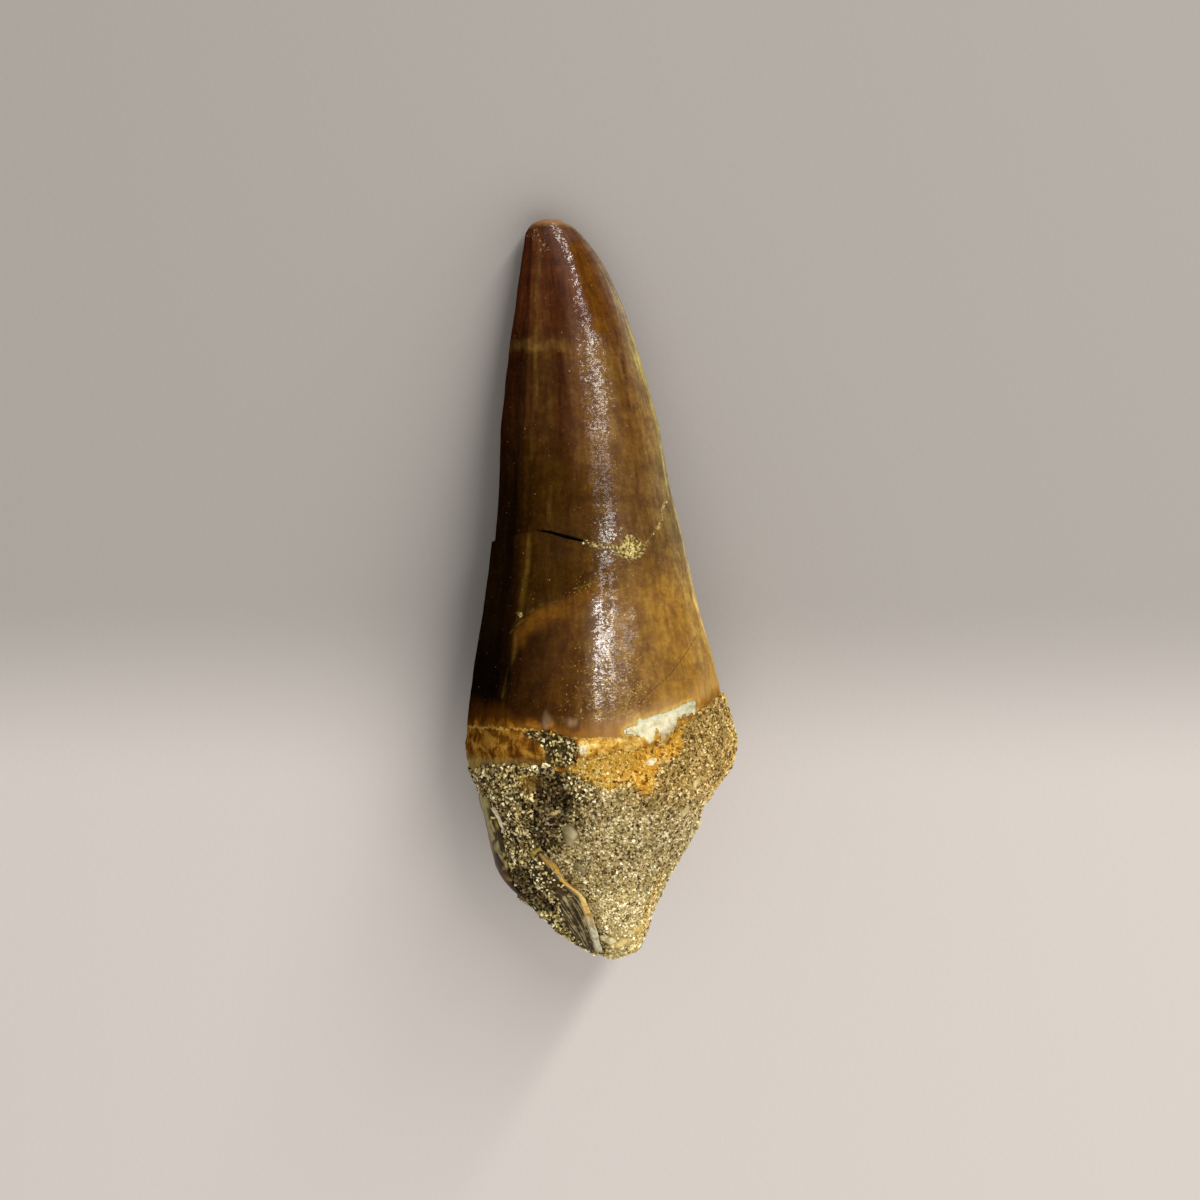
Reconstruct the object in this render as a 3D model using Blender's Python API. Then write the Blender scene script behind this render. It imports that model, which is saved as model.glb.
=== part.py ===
"""A fossil mosasaur tooth, lying on its side.

A glossy brown crown stands in a lump of sandy matrix, in which a shard of the root's wall, a
splinter of bone and a pebble are bedded. The tooth is modelled on its own axis: x is its
width, y its height above the gum line and z points to the side that shows. It is then laid
down, so that the crown's tip and the broken flat under the matrix touch the surface at z = 0.
"""

import math

import bmesh
import bpy
import numpy as np
from mathutils import Matrix, Vector, noise

MM = 0.001
CLEARANCE = 0.3 * MM

# Crown: height above the gum line, left edge and right edge in millimetres, tip first.
CROWN_OUTLINE = (
    (40.9, -4.1, -4.1),
    (40.75, -5.1, -3.0),
    (40.3, -5.75, -2.2),
    (39.6, -6.0, -1.4),
    (37.7, -6.4, 0.0),
    (35.7, -6.7, 1.1),
    (32.8, -7.0, 2.3),
    (28.9, -7.4, 3.5),
    (24.1, -7.9, 4.8),
    (19.2, -8.2, 5.7),
    (14.4, -8.7, 6.9),
    (9.5, -9.3, 8.0),
    (5.7, -9.9, 9.1),
    (2.6, -10.35, 9.75),
    (0.0, -10.65, 9.85),
    (-2.3, -10.8, 9.85),
    (-3.6, -10.4, 9.5),
    (-4.8, -9.0, 8.4),
    (-5.7, -6.3, 6.0),
    (-6.0, -0.3, -0.3),
)
CROWN_RINGS = 40
CROWN_SEGMENTS = 40
CROWN_HEIGHT = CROWN_OUTLINE[0][0] * MM
DEPTH_OVER_WIDTH = 0.82
TIP_SWEEP = 2.2 * MM

# The two cutting edges run up opposite sides of the crown, as angles from +x towards +z. They
# fade out where the crown is narrower than the half width given.
CUTTING_EDGES = (math.radians(131), math.radians(-49))
CUTTING_EDGE_HEIGHT = 0.32 * MM
CUTTING_EDGE_SPREAD = math.radians(8)
CUTTING_EDGE_FADE = 3.8 * MM

# Matrix: height, left edge, right edge, back and front in millimetres, top first. The rows
# above -3 mm lie inside the crown on the left, and wrap over it on the right.
MATRIX_OUTLINE = (
    (5.0, -0.5, -0.5, -0.2, -0.2),
    (4.4, -6.0, 6.6, -5.2, 5.0),
    (2.9, -8.8, 9.6, -7.7, 7.3),
    (1.6, -9.7, 10.25, -8.6, 8.1),
    (-0.3, -10.3, 10.7, -9.5, 8.5),
    (-2.3, -10.6, 10.9, -10.1, 8.8),
    (-3.7, -10.5, 10.6, -10.5, 9.0),
    (-4.9, -9.95, 9.8, -10.7, 9.0),
    (-6.6, -9.3, 8.5, -10.7, 8.9),
    (-8.4, -8.75, 8.1, -10.4, 8.5),
    (-9.6, -8.55, 7.3, -10.0, 8.1),
    (-11.5, -8.15, 6.1, -9.2, 7.2),
    (-13.4, -7.2, 5.2, -8.1, 6.1),
    (-15.4, -5.0, 4.3, -6.5, 4.7),
    (-17.3, -2.7, 3.7, -4.7, 3.1),
    (-18.5, -0.9, 3.1, -3.2, 1.9),
    (-19.1, 1.1, 1.1, -0.6, -0.6),
)
MATRIX_RINGS = 38
MATRIX_SEGMENTS = 48
MATRIX_SQUARENESS = 2.25
LUMPS = ((0.32 * MM, 2.9 * MM), (0.18 * MM, 1.3 * MM))

# Broken faces of the matrix: a point on each, its outward direction.
BROKEN_FACES = (
    ((-4.4, -10.7, 6.8), (-0.46, -0.65, 0.60)),
    ((5.6, -14.5, -3.0), (0.72, -0.5, -0.48)),
    ((-7.6, -9.0, -5.2), (-0.8, -0.15, -0.58)),
)

# The hollow that runs down the front of the matrix from the gum line.
HOLLOW_TOP = Vector((-3.3, -3.4)) * MM
HOLLOW_BOTTOM = Vector((-3.0, -9.2)) * MM
HOLLOW_DEPTH = 0.9 * MM
HOLLOW_RADIUS = 1.0 * MM

# Blades of fossil bone: x, y, z on the blade's line, then its half thickness and its half
# breadth, in millimetres. A blade spreads sideways from its line along its lean.
SPLINTER_LINE = (
    (-4.6, -10.4, 6.8, 0.0, 0.0),
    (-4.3, -10.8, 6.95, 0.25, 0.8),
    (-3.0, -12.3, 6.75, 0.42, 1.3),
    (-1.5, -13.5, 6.25, 0.50, 1.6),
    (-0.75, -14.9, 5.35, 0.40, 1.6),
    (-0.3, -16.35, 4.2, 0.34, 1.3),
    (0.05, -17.7, 2.95, 0.28, 0.9),
    (0.15, -18.3, 2.4, 0.0, 0.0),
)
SPLINTER_LEAN = Vector((-0.75, -0.08, -0.66))
SHARD_LINE = (
    (-9.7, -4.7, 0.5, 0.0, 0.0),
    (-9.35, -5.6, 0.5, 0.30, 2.2),
    (-8.9, -7.2, 0.6, 0.40, 3.4),
    (-8.45, -9.0, 0.6, 0.42, 3.9),
    (-8.1, -10.6, 0.5, 0.42, 3.7),
    (-7.55, -12.2, 0.3, 0.38, 2.8),
    (-6.6, -13.5, 0.2, 0.30, 1.6),
    (-5.9, -14.3, 0.1, 0.0, 0.0),
)
SHARD_LEAN = Vector((0.0, 0.0, -1.0))
SHARD_BOW_RADIUS = 12 * MM
BLADE_RINGS = 18
BLADE_SEGMENTS = 12

PEBBLE_CENTRE = Vector((-2.1, -8.6, 7.45)) * MM
PEBBLE_RADII = Vector((0.65, 0.95, 0.6)) * MM
PEBBLE_RINGS = 8
PEBBLE_SEGMENTS = 12

# How far the tooth leans from flat when its tip touches the surface.
LYING_ANGLE = math.radians(6.9)
FLOOR_BLOCK = Vector((60, 90, 10)) * MM

# Material: colour, roughness.
CROWN_BROWN = ((0.16, 0.082, 0.035), 0.3)
MATRIX_SAND = ((0.36, 0.29, 0.17), 0.85)
BONE_OCHRE = ((0.6, 0.41, 0.16), 0.6)
BONE_OLIVE = ((0.26, 0.2, 0.07), 0.45)
PEBBLE_OLIVE = ((0.3, 0.29, 0.19), 0.4)


def clear_scene():
    for obj in list(bpy.data.objects):
        bpy.data.objects.remove(obj)


def new_collection(name):
    collection = bpy.data.collections.new(name)
    bpy.context.scene.collection.children.link(collection)
    return collection


def new_material(name, finish):
    colour, roughness = finish
    material = bpy.data.materials.new(name)
    material.use_nodes = True
    shader = material.node_tree.nodes["Principled BSDF"]
    shader.inputs["Base Color"].default_value = (*colour, 1.0)
    shader.inputs["Roughness"].default_value = roughness
    shader.inputs["Metallic"].default_value = 0.0
    return material


def curve_through(rows, t):
    """The smooth curve through the rows, read at t: 0 is the first row, 1 the second."""
    index = min(int(t), len(rows) - 2)
    share = t - index
    last = len(rows) - 1
    near = (rows[min(max(index + step, 0), last)] for step in (-1, 0, 1, 2))
    return [
        b + share * (c - a) / 2
        + share**2 * (a - 2.5 * b + 2 * c - 0.5 * d)
        + share**3 * (1.5 * (b - c) + 0.5 * (d - a))
        for a, b, c, d in zip(*near)
    ]


def even_stations(rows, rings):
    """Where to read the rows, so that the rings lie about the same distance apart."""
    steps = np.linspace(0, len(rows) - 1, 400)
    points = np.array([curve_through(rows, t) for t in steps])
    reach = np.append(0, np.cumsum(np.linalg.norm(np.diff(points, axis=0), axis=1)))
    return np.interp(np.linspace(0, reach[-1], rings + 1), reach, steps)


def ringed_body(rows, rings, segments, place):
    """A sphere whose rings are spread along the rows: place(row, angle) says where each
    point goes, for an angle from +x towards +z."""
    body = bmesh.new()
    bmesh.ops.create_uvsphere(body, u_segments=segments, v_segments=rings, radius=1)
    stations = even_stations(rows, rings)
    for vert in body.verts:
        ring = round(math.acos(max(-1, min(1, vert.co.z))) / math.pi * rings)
        angle = math.atan2(vert.co.y, vert.co.x)
        vert.co = place(curve_through(rows, stations[ring]), angle)
    if body.calc_volume(signed=True) < 0:
        bmesh.ops.reverse_faces(body, faces=body.faces)
    return body


def mesh_object(name, body, collection):
    mesh = bpy.data.meshes.new(name)
    body.to_mesh(mesh)
    body.free()
    mesh.shade_smooth()
    obj = bpy.data.objects.new(name, mesh)
    collection.objects.link(obj)
    return obj


def angle_between(a, b):
    return abs((a - b + math.pi) % (2 * math.pi) - math.pi)


def crown_point(row, angle):
    """An oval ring with a low cutting edge on two sides, swept back towards the tip."""
    height, left, right = (value * MM for value in row)
    half_width = (right - left) / 2
    edge = sum(
        math.exp(-((angle_between(angle, at) / CUTTING_EDGE_SPREAD) ** 2))
        for at in CUTTING_EDGES
    )
    out = half_width + CUTTING_EDGE_HEIGHT * edge * min(1.0, half_width / CUTTING_EDGE_FADE)
    sweep = TIP_SWEEP * max(0.0, height / CROWN_HEIGHT) ** 2
    return Vector((
        (left + right) / 2 + out * math.cos(angle),
        height,
        DEPTH_OVER_WIDTH * out * math.sin(angle) - sweep,
    ))


def squared(value):
    """A sine or cosine pushed outwards, which turns an ellipse into a fuller oval."""
    return math.copysign(abs(value) ** (2 / MATRIX_SQUARENESS), value)


def distance_to_hollow(point):
    along = HOLLOW_BOTTOM - HOLLOW_TOP
    offset = point.xy - HOLLOW_TOP
    share = max(0.0, min(1.0, offset.dot(along) / along.length_squared))
    return (offset - along * share).length


def matrix_point(row, angle):
    """A fuller oval ring, made lumpy, hollowed in front and broken off flat in places."""
    height, left, right, back, front = (value * MM for value in row)
    point = Vector((
        (left + right) / 2 + (right - left) / 2 * squared(math.cos(angle)),
        height,
        (back + front) / 2 + (front - back) / 2 * squared(math.sin(angle)),
    ))
    outward = Vector((math.cos(angle), 0, math.sin(angle)))
    lump = sum(rise * noise.noise(point / size) for rise, size in LUMPS)
    point += outward * lump
    if point.z > 0:
        point.z -= HOLLOW_DEPTH * math.exp(-((distance_to_hollow(point) / HOLLOW_RADIUS) ** 2))
    for place, direction in BROKEN_FACES:
        direction = Vector(direction).normalized()
        above = (point - Vector(place) * MM).dot(direction)
        point -= direction * max(0.0, above)
    return point


def splinter_point(row, angle):
    """A thin oval blade that leans into the matrix below its line."""
    x, y, z, thickness, breadth = (value * MM for value in row)
    ahead = Vector(SPLINTER_LINE[-1][:3]) - Vector(SPLINTER_LINE[0][:3])
    across = ahead.cross(SPLINTER_LEAN).normalized()
    return (
        Vector((x, y, z))
        + SPLINTER_LEAN.normalized() * breadth * (1 + math.sin(angle))
        + across * thickness * math.cos(angle)
    )


def shard_point(row, angle):
    """A thin plate on both sides of its line, bowed like the side of the root."""
    x, y, z, thickness, breadth = (value * MM for value in row)
    spread = breadth * math.sin(angle)
    bow = spread**2 / (2 * SHARD_BOW_RADIUS)
    return Vector((x + bow + thickness * math.cos(angle), y, z)) + SHARD_LEAN * spread


def pebble_body():
    body = bmesh.new()
    bmesh.ops.create_uvsphere(
        body,
        u_segments=PEBBLE_SEGMENTS,
        v_segments=PEBBLE_RINGS,
        radius=1,
        matrix=Matrix.Translation(PEBBLE_CENTRE) @ Matrix.Diagonal((*PEBBLE_RADII, 1)),
    )
    return body


def swollen(part, cutters):
    """A copy of the part that stands out by the clearance on every side, as a cutter."""
    body = bmesh.new()
    body.from_mesh(part.data)
    body.normal_update()
    moves = [vert.normal * CLEARANCE for vert in body.verts]
    for vert, move in zip(body.verts, moves):
        vert.co += move
    return mesh_object(part.name + "_room", body, cutters)


def floor_block(cutters):
    """Everything under the surface that the tooth lies on."""
    body = bmesh.new()
    below = Matrix.Translation((0, 0, -FLOOR_BLOCK.z / 2))
    bmesh.ops.create_cube(body, size=1, matrix=below @ Matrix.Diagonal((*FLOOR_BLOCK, 1)))
    return mesh_object("floor_block", body, cutters)


def cut(part, cutter):
    cutter.hide_render = True
    cutter.display_type = "WIRE"
    boolean = part.modifiers.new("cut_" + cutter.name, "BOOLEAN")
    boolean.operation = "DIFFERENCE"
    boolean.solver = "EXACT"
    boolean.object = cutter


def lay_down(crown, matrix, everything):
    """Turns the tooth on its back by way of an empty, with its tip on the surface."""
    tooth = bpy.data.objects.new("tooth", None)
    bpy.context.scene.collection.objects.link(tooth)
    turn = Matrix.Rotation(-LYING_ANGLE, 4, "X")
    low_crown = min((turn @ vert.co).z for vert in crown.data.vertices)
    points = [turn @ vert.co for part in (crown, matrix) for vert in part.data.vertices]
    middle = [
        (min(p[axis] for p in points) + max(p[axis] for p in points)) / 2 for axis in (0, 1)
    ]
    tooth.rotation_euler = (-LYING_ANGLE, 0, 0)
    tooth.location = (-middle[0], -middle[1], -low_crown)
    for obj in everything:
        obj.parent = tooth


def main():
    clear_scene()
    parts = new_collection("fossil_tooth")
    cutters = new_collection("cutters")

    crown = mesh_object(
        "crown", ringed_body(CROWN_OUTLINE, CROWN_RINGS, CROWN_SEGMENTS, crown_point), parts
    )
    matrix = mesh_object(
        "matrix", ringed_body(MATRIX_OUTLINE, MATRIX_RINGS, MATRIX_SEGMENTS, matrix_point), parts
    )
    splinter = mesh_object(
        "bone_splinter", ringed_body(SPLINTER_LINE, BLADE_RINGS, BLADE_SEGMENTS, splinter_point), parts
    )
    shard = mesh_object(
        "root_shard", ringed_body(SHARD_LINE, BLADE_RINGS, BLADE_SEGMENTS, shard_point), parts
    )
    pebble = mesh_object("pebble", pebble_body(), parts)

    bedded = (crown, splinter, shard, pebble)
    rooms = [swollen(part, cutters) for part in bedded]
    lay_down(crown, matrix, [matrix, *bedded, *rooms])
    for cutter in (*rooms, floor_block(cutters)):
        cut(matrix, cutter)

    finishes = (
        (crown, CROWN_BROWN),
        (matrix, MATRIX_SAND),
        (splinter, BONE_OCHRE),
        (shard, BONE_OLIVE),
        (pebble, PEBBLE_OLIVE),
    )
    for part, finish in finishes:
        part.data.materials.append(new_material(part.name, finish))


main()
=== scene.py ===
"""The looks of the fossil mosasaur tooth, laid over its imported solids.

Shapes are worked out in the tooth's own frame, in millimetres: x across the tooth, y up the
crown from the gum line, and z out of the side that shows. Each finished mesh is then turned
and scaled into the world, where the tooth lies on its back.
"""

import math

import bmesh
import bpy
import numpy as np
from mathutils import Matrix, Vector, noise
from mathutils.bvhtree import BVHTree


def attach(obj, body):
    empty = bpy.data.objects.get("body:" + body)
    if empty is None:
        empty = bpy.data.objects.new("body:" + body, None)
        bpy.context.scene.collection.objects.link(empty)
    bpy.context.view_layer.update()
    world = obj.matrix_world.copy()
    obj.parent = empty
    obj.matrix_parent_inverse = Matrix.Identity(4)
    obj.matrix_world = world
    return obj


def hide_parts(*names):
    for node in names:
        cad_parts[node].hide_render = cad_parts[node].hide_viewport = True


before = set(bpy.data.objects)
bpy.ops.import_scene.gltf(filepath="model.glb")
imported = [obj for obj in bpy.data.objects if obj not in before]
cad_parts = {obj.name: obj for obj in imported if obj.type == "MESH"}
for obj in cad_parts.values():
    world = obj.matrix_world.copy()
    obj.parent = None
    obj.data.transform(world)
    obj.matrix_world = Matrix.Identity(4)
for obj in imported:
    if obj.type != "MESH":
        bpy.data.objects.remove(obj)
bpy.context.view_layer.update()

MM = 0.001

# How the tooth lies, and where the top of its crown is in its own frame.
LYING_ANGLE = math.radians(6.9)
TIP = Vector((-4.1, 40.9, -2.2))

# The picture is this wide at the tooth's axis, and its middle is over this point.
PICTURE_WIDTH = 97.04
AIM = np.array((0.08, 9.87))
LENS = 110.0
SENSOR = 36.0
CAMERA_DISTANCE = PICTURE_WIDTH / SENSOR * LENS

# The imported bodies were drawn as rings, which lie further apart than the gap. Each is read at
# this many points.
RING_GAP = 0.01
RING_POINTS = 40

# Crown mesh. Rows lie closer together at the open crack and on the collar.
CROWN_ROWS = 330
CROWN_COLUMNS = 290
FRONT_CROWDING = 0.35
ROW_SPACING = ((-6.0, 0.24), (-3.4, 0.14), (1.5, 0.14), (3.5, 0.22), (13.6, 0.2), (14.4, 0.07),
               (15.7, 0.07), (16.6, 0.2), (38.0, 0.2), (40.9, 0.12))

# Lines and outlines as they show from the front, in own millimetres.
OPEN_CRACK = ((-5.1, 15.55), (-4.05, 15.4), (-2.7, 15.02), (-1.2, 14.65))
OPEN_CRACK_HALF_WIDTHS = (0.03, 0.1, 0.15, 0.1)
HEALED_CRACK = ((-7.2, 7.2), (-6.2, 8.2), (-5.1, 9.35), (-3.95, 9.7), (-2.8, 10.15), (-1.7, 10.7),
                (0.0, 11.6), (2.4, 12.9), (3.9, 14.4), (4.6, 15.5), (5.0, 16.6), (5.4, 17.9), (5.7, 20.0))
GOLD_CHIP = ((1.3, 13.8), (1.7, 14.3), (2.2, 15.0), (2.75, 15.1), (3.3, 14.7), (3.9, 14.3),
             (3.4, 13.45), (2.75, 13.1), (1.85, 13.3))
GOLD_TRAIL = ((-1.1, 14.6), (-0.2, 14.3), (0.8, 14.15), (1.8, 14.1))
GOLD_VEIN = ((3.6, 14.3), (4.5, 15.4), (4.9, 15.9), (5.15, 17.1), (5.4, 17.8))
SCRATCH = ((7.9, 7.0), (7.0, 5.5), (5.8, 3.9), (4.75, 2.95), (3.8, 2.15), (3.2, 1.4))
WHITE_CHIP = ((2.0, -0.6), (2.4, -0.4), (3.0, -0.3), (3.15, 0.45), (3.5, 0.2), (4.6, 0.6), (5.9, 0.95),
              (6.95, 1.5), (7.85, 1.85), (7.95, 0.5), (7.6, 0.5), (7.2, 0.6), (6.6, 0.3), (6.1, -0.75),
              (5.4, -1.4), (5.05, -1.4), (4.8, -0.6), (4.55, -1.2), (4.3, -1.5), (4.0, -1.75), (3.7, -1.15),
              (2.6, -1.05), (2.4, -1.5), (2.2, -1.45))
PALE_CHIPS = (
    ((-4.8, -0.45), (-4.5, 0.3), (-4.3, 0.9), (-3.9, 0.4), (-3.7, -0.15), (-4.2, -0.5)),
    ((-2.9, 0.3), (-1.7, 0.2), (-1.5, -0.3), (-2.7, -0.35)),
)
PALE_CRUST = (
    ((3.3, -2.5), (3.7, -2.2), (3.9, -2.8), (4.6, -2.9), (5.1, -2.3), (5.4, -2.9), (5.2, -3.6),
     (4.2, -3.7), (3.5, -3.1)),
    ((-1.7, -1.9), (-1.2, -1.9), (-0.9, -2.4), (-1.3, -2.8), (-1.7, -2.5)),
)
GREY_STRIP = ((3.15, -0.24), (7.1, 0.97))
SAND_NOTCH = ((-6.3, -1.0), (-5.7, -0.65), (-4.2, -0.65), (-2.8, -1.1), (-2.0, -1.4), (-1.6, -2.2),
              (-1.75, -3.4), (-3.15, -3.9), (-4.2, -3.6), (-4.5, -2.2), (-5.2, -1.5))
TIP_CRUMBS = ((-5.2, 39.9), (-5.6, 39.5), (-5.1, 39.2), (-4.75, 39.0), (-4.4, 38.65), (-4.25, 38.3),
              (-4.75, 38.0))

# Pale and dark lines that run along the enamel, each with its half width.
PALE_LINES = (
    (((-4.8, 38.2), (-5.2, 33.7), (-5.1, 27.0), (-5.4, 21.5), (-5.5, 16.0), (-5.8, 12.5), (-6.3, 9.2),
      (-6.9, 5.5), (-7.7, 2.0)), 0.34),
    (((-4.4, 24.0), (-4.1, 20.0), (-4.05, 16.3)), 0.28),
)
DARK_LINES = (
    (((-1.7, 37.8), (-1.05, 35.5), (0.3, 33.7), (0.9, 32.5), (1.9, 29.5), (2.4, 25.5)), 0.28),
    (((-3.1, 36.0), (-3.0, 33.0), (-2.6, 30.5)), 0.6),
)
AMBER_LINE = ((-1.7, 38.3), (-1.0, 36.3), (-0.3, 34.0), (0.3, 32.0))
AMBER_HALF_WIDTH = 0.9

# Soft ridges down the front of the crown: each crest, its half width, its height, and between
# which heights it fades in from below and out above.
RIDGES = (
    (((-0.5, 0.0), (-0.6, 6.5), (-0.45, 9.6), (0.2, 15.0), (0.2, 18.0)), 0.9, 0.22, (-2.0, -1.0, 10.0, 18.0)),
    (((3.0, 0.0), (3.2, 9.0)), 0.8, 0.12, (-2.0, -1.0, 7.0, 10.0)),
    (((-2.1, 32.5), (-2.7, 36.0), (-3.1, 37.5), (-3.9, 39.5)), 0.7, 0.15, (31.5, 34.0, 39.5, 40.5)),
)

# The enamel is best polished along this line.
POLISHED_LINE = ((-3.6, 40.3), (-2.6, 38.1), (-2.1, 36.7), (-1.8, 34.3), (-1.5, 33.2), (-1.0, 30.9),
                 (-0.4, 28.2), (-0.1, 26.2), (0.4, 23.5), (0.8, 15.4), (0.15, 9.6), (0.0, 6.5), (0.1, 1.0))
# Pale specks along this line are a painted glint on the enamel near the tip.
TIP_GLINT = ((-3.65, 40.2), (-3.2, 39.2), (-2.75, 38.3), (-2.4, 37.5))
GOLD_SPECK = (-6.35, 8.75)

# The gum line's height by the angle around the crown, in degrees from +x towards the front.
GUM_LINE = ((-180, -0.3), (-130, 0.2), (-90, 0.5), (-45, 1.4), (0, 2.3), (25, 1.5), (45, 0.2), (60, -0.6),
            (75, -1.0), (100, -1.0), (118, -0.4), (130, -0.3), (180, -0.3))

# Where the sand begins on the front, and below which line it isn't stained orange any more.
SAND_TOP = ((-11.5, -3.1), (-9.6, -3.3), (-7.5, -3.4), (-5.2, -3.3), (-4.3, -3.4), (-1.8, -3.2),
            (-1.0, -2.6), (2.0, -2.2), (4.0, -2.0), (5.5, -1.7), (6.3, -0.7), (6.9, 0.2), (7.9, 0.4),
            (8.4, 0.9), (8.9, 1.5), (9.8, 2.3), (11.5, 2.8))
STAIN_END = ((-11.5, -3.3), (-3.0, -3.4), (-2.3, -4.1), (-0.8, -4.9), (0.7, -5.7), (1.8, -5.1), (2.9, -5.3),
             (3.8, -6.0), (4.6, -5.8), (4.4, -4.4), (4.9, -3.4), (6.2, -2.8), (6.9, -1.9), (6.8, -0.6),
             (7.4, 0.2), (8.3, 0.7), (8.9, 1.3), (9.7, 2.1), (11.5, 2.5))

# Left of this line, from high to low, the sand is dark, partly its own tone and partly painted shade. The
# hollow in it is painted darker still, as shade.
DARK_SAND_EDGE = ((-18.3, 0.2), (-14.5, -1.4), (-10.7, -4.4), (-8.7, -2.2), (-7.3, -1.1), (-5.5, -0.7),
                  (-3.5, -1.5))
RED_SPOT = (-5.7, -5.0)
RED_SPOT_SIZE = (1.0, 0.8)
SHADED_FACE = ((-7.4, -11.7), (-4.7, -10.9), (-3.2, -12.9), (-2.2, -14.0), (-3.2, -15.6), (-5.0, -15.6),
               (-6.6, -14.6))
STAINED_EDGE = ((5.3, -11.6), (4.6, -13.6), (3.9, -15.2), (3.5, -16.8), (2.8, -18.2))
SPLINTER_CREST = ((-4.4, -10.6), (-3.0, -12.4), (-1.4, -13.8), (-0.75, -15.3), (-0.35, -16.8), (0.15, -18.3))
SPLINTER_BARE = ((-3.5, -13.1), (-1.7, -14.5), (-0.9, -15.6), (-0.5, -17.0), (0.1, -18.6), (-0.9, -18.3),
                 (-2.6, -16.3))
HOLLOW = ((-6.0, -3.6), (-2.6, -3.6), (-2.5, -5.5), (-1.5, -6.9), (-2.9, -8.6), (-3.5, -10.4), (-5.0, -11.2),
          (-5.9, -9.0), (-5.5, -6.0))

# Above this line, the crown's left edge steps in, by this much.
STEP_LINE = ((-8.5, 14.6), (-6.5, 15.2), (-5.1, 15.5), (-1.2, 14.6))
STEP_DEPTH = 0.24

# Two low cutting edges run up the crown, at these angles in degrees from +x towards the front.
CUTTING_EDGES = (131, -49)
CUTTING_EDGE_HALF_WIDTH = 0.035

# How much slimmer the crown is on its left side, by height near its tip.
SLIMMER_TIP = ((31.5, 0), (33.7, 0.16), (37.0, 0.17), (38.5, 0.11), (39.6, 0.04))

# What is cut into the crown: the mask, how deep, how ragged its rim is, the size of the rags, and
# the mask's values where the cut starts and where it is full.
CROWN_CUTS = (
    ("crack", 0.42, 0, 0, 1.3, 0.5),
    ("healed", 0.015, 0, 0, 0.3, 0.0),
    ("scratch", 0.03, 0, 0, 0.12, 0.0),
    ("gold", 0.16, 0.12, 0.5, -0.1, 0.2),
    ("trail", 0.05, 0, 0, 0.28, 0.1),
    ("vein", 0.04, 0, 0, 0.2, 0.05),
    ("white", 0.13, 0.05, 0.35, -0.04, 0.08),
    ("pale", 0.04, 0.06, 0.4, -0.04, 0.08),
    ("notch", 0.45, 0.15, 0.6, -0.05, 0.35),
    ("crumbs", 0.07, 0.1, 0.4, 0.3, 0.08),
)

# Masks of the crown's front that are drawn with lines, each with its half width, or with outlines.
LINES_ON_CROWN = {
    "healed": ((HEALED_CRACK, 1),),
    "scratch": ((SCRATCH, 1),),
    "vein": ((GOLD_VEIN, 1),),
    "glint": ((TIP_GLINT, 1),),
    "pale_lines": PALE_LINES,
    "dark_lines": DARK_LINES,
    "amber": ((AMBER_LINE, AMBER_HALF_WIDTH),),
}
OUTLINES_ON_CROWN = {
    "white": (WHITE_CHIP,),
    "notch": (SAND_NOTCH,),
    "gold": (GOLD_CHIP,),
    "pale": PALE_CHIPS,
    "pale_crust": PALE_CRUST,
}
# How much further off the marks count on the side that they aren't drawn on.
BEHIND = 9


# The tooth's own frame

def place_of_tooth():
    """Takes own millimetres to world metres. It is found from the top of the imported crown."""
    turn = Matrix.Rotation(-LYING_ANGLE, 4, "X")
    up = turn @ Vector((0, 1, 0))
    top = max((vert.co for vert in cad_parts["crown"].data.vertices), key=up.dot)
    return Matrix.Translation(top) @ turn @ Matrix.Scale(MM, 4) @ Matrix.Translation(-TIP)


OWN = place_of_tooth()
INTO_OWN = OWN.inverted()


def moved(points, matrix):
    grid = np.array(matrix)
    return points @ grid[:3, :3].T + grid[:3, 3]


def merged_points(node):
    """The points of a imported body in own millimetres, each of them once."""
    body = bmesh.new()
    body.from_mesh(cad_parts[node].data)
    bmesh.ops.remove_doubles(body, verts=body.verts, dist=0.002 * MM)
    points = np.array([vert.co for vert in body.verts])
    body.free()
    return moved(points, INTO_OWN)


def solid_of(node):
    """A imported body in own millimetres, to cast rays at."""
    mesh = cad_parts[node].data
    points = moved(np.array([vert.co for vert in mesh.vertices]), INTO_OWN)
    return BVHTree.FromPolygons(points.tolist(), [face.vertices[:] for face in mesh.polygons])


def seen(points):
    """Where points show in the picture, in millimetres on the plane through the tooth's axis."""
    nearness = CAMERA_DISTANCE / (CAMERA_DISTANCE - points[..., 2:3])
    return AIM + (points[..., :2] - AIM) * nearness


# Measuring

def soft_step(values, low, high):
    """From 0 at low to 1 at high, with no corner. Low may be the larger one."""
    share = np.clip((values - low) / (high - low), 0, 1)
    return share * share * (3 - 2 * share)


def rough(points, size, octaves=1):
    """Noise between about -1 and 1, with lumps of about that size and finer ones on them."""
    total = np.zeros(points.shape[:-1])
    for octave in range(octaves):
        scaled = (points * (2**octave / size)).reshape(-1, 3).tolist()
        values = np.array([noise.noise(place) for place in scaled])
        total += values.reshape(total.shape) / 2**octave
    return total


def distance_to(line, places):
    """How far each place is from a line of points, and how far along it, in points, it lies."""
    best = np.full(places.shape[:-1], np.inf)
    along = np.zeros(places.shape[:-1])
    for index, (start, end) in enumerate(zip(line, line[1:])):
        start = np.array(start)
        reach = np.array(end) - start
        share = np.clip(((places - start) @ reach) / (reach @ reach), 0, 1)
        far = np.linalg.norm(places - start - share[..., None] * reach, axis=-1)
        nearer = far < best
        best = np.where(nearer, far, best)
        along = np.where(nearer, index + share, along)
    return best, along


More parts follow.
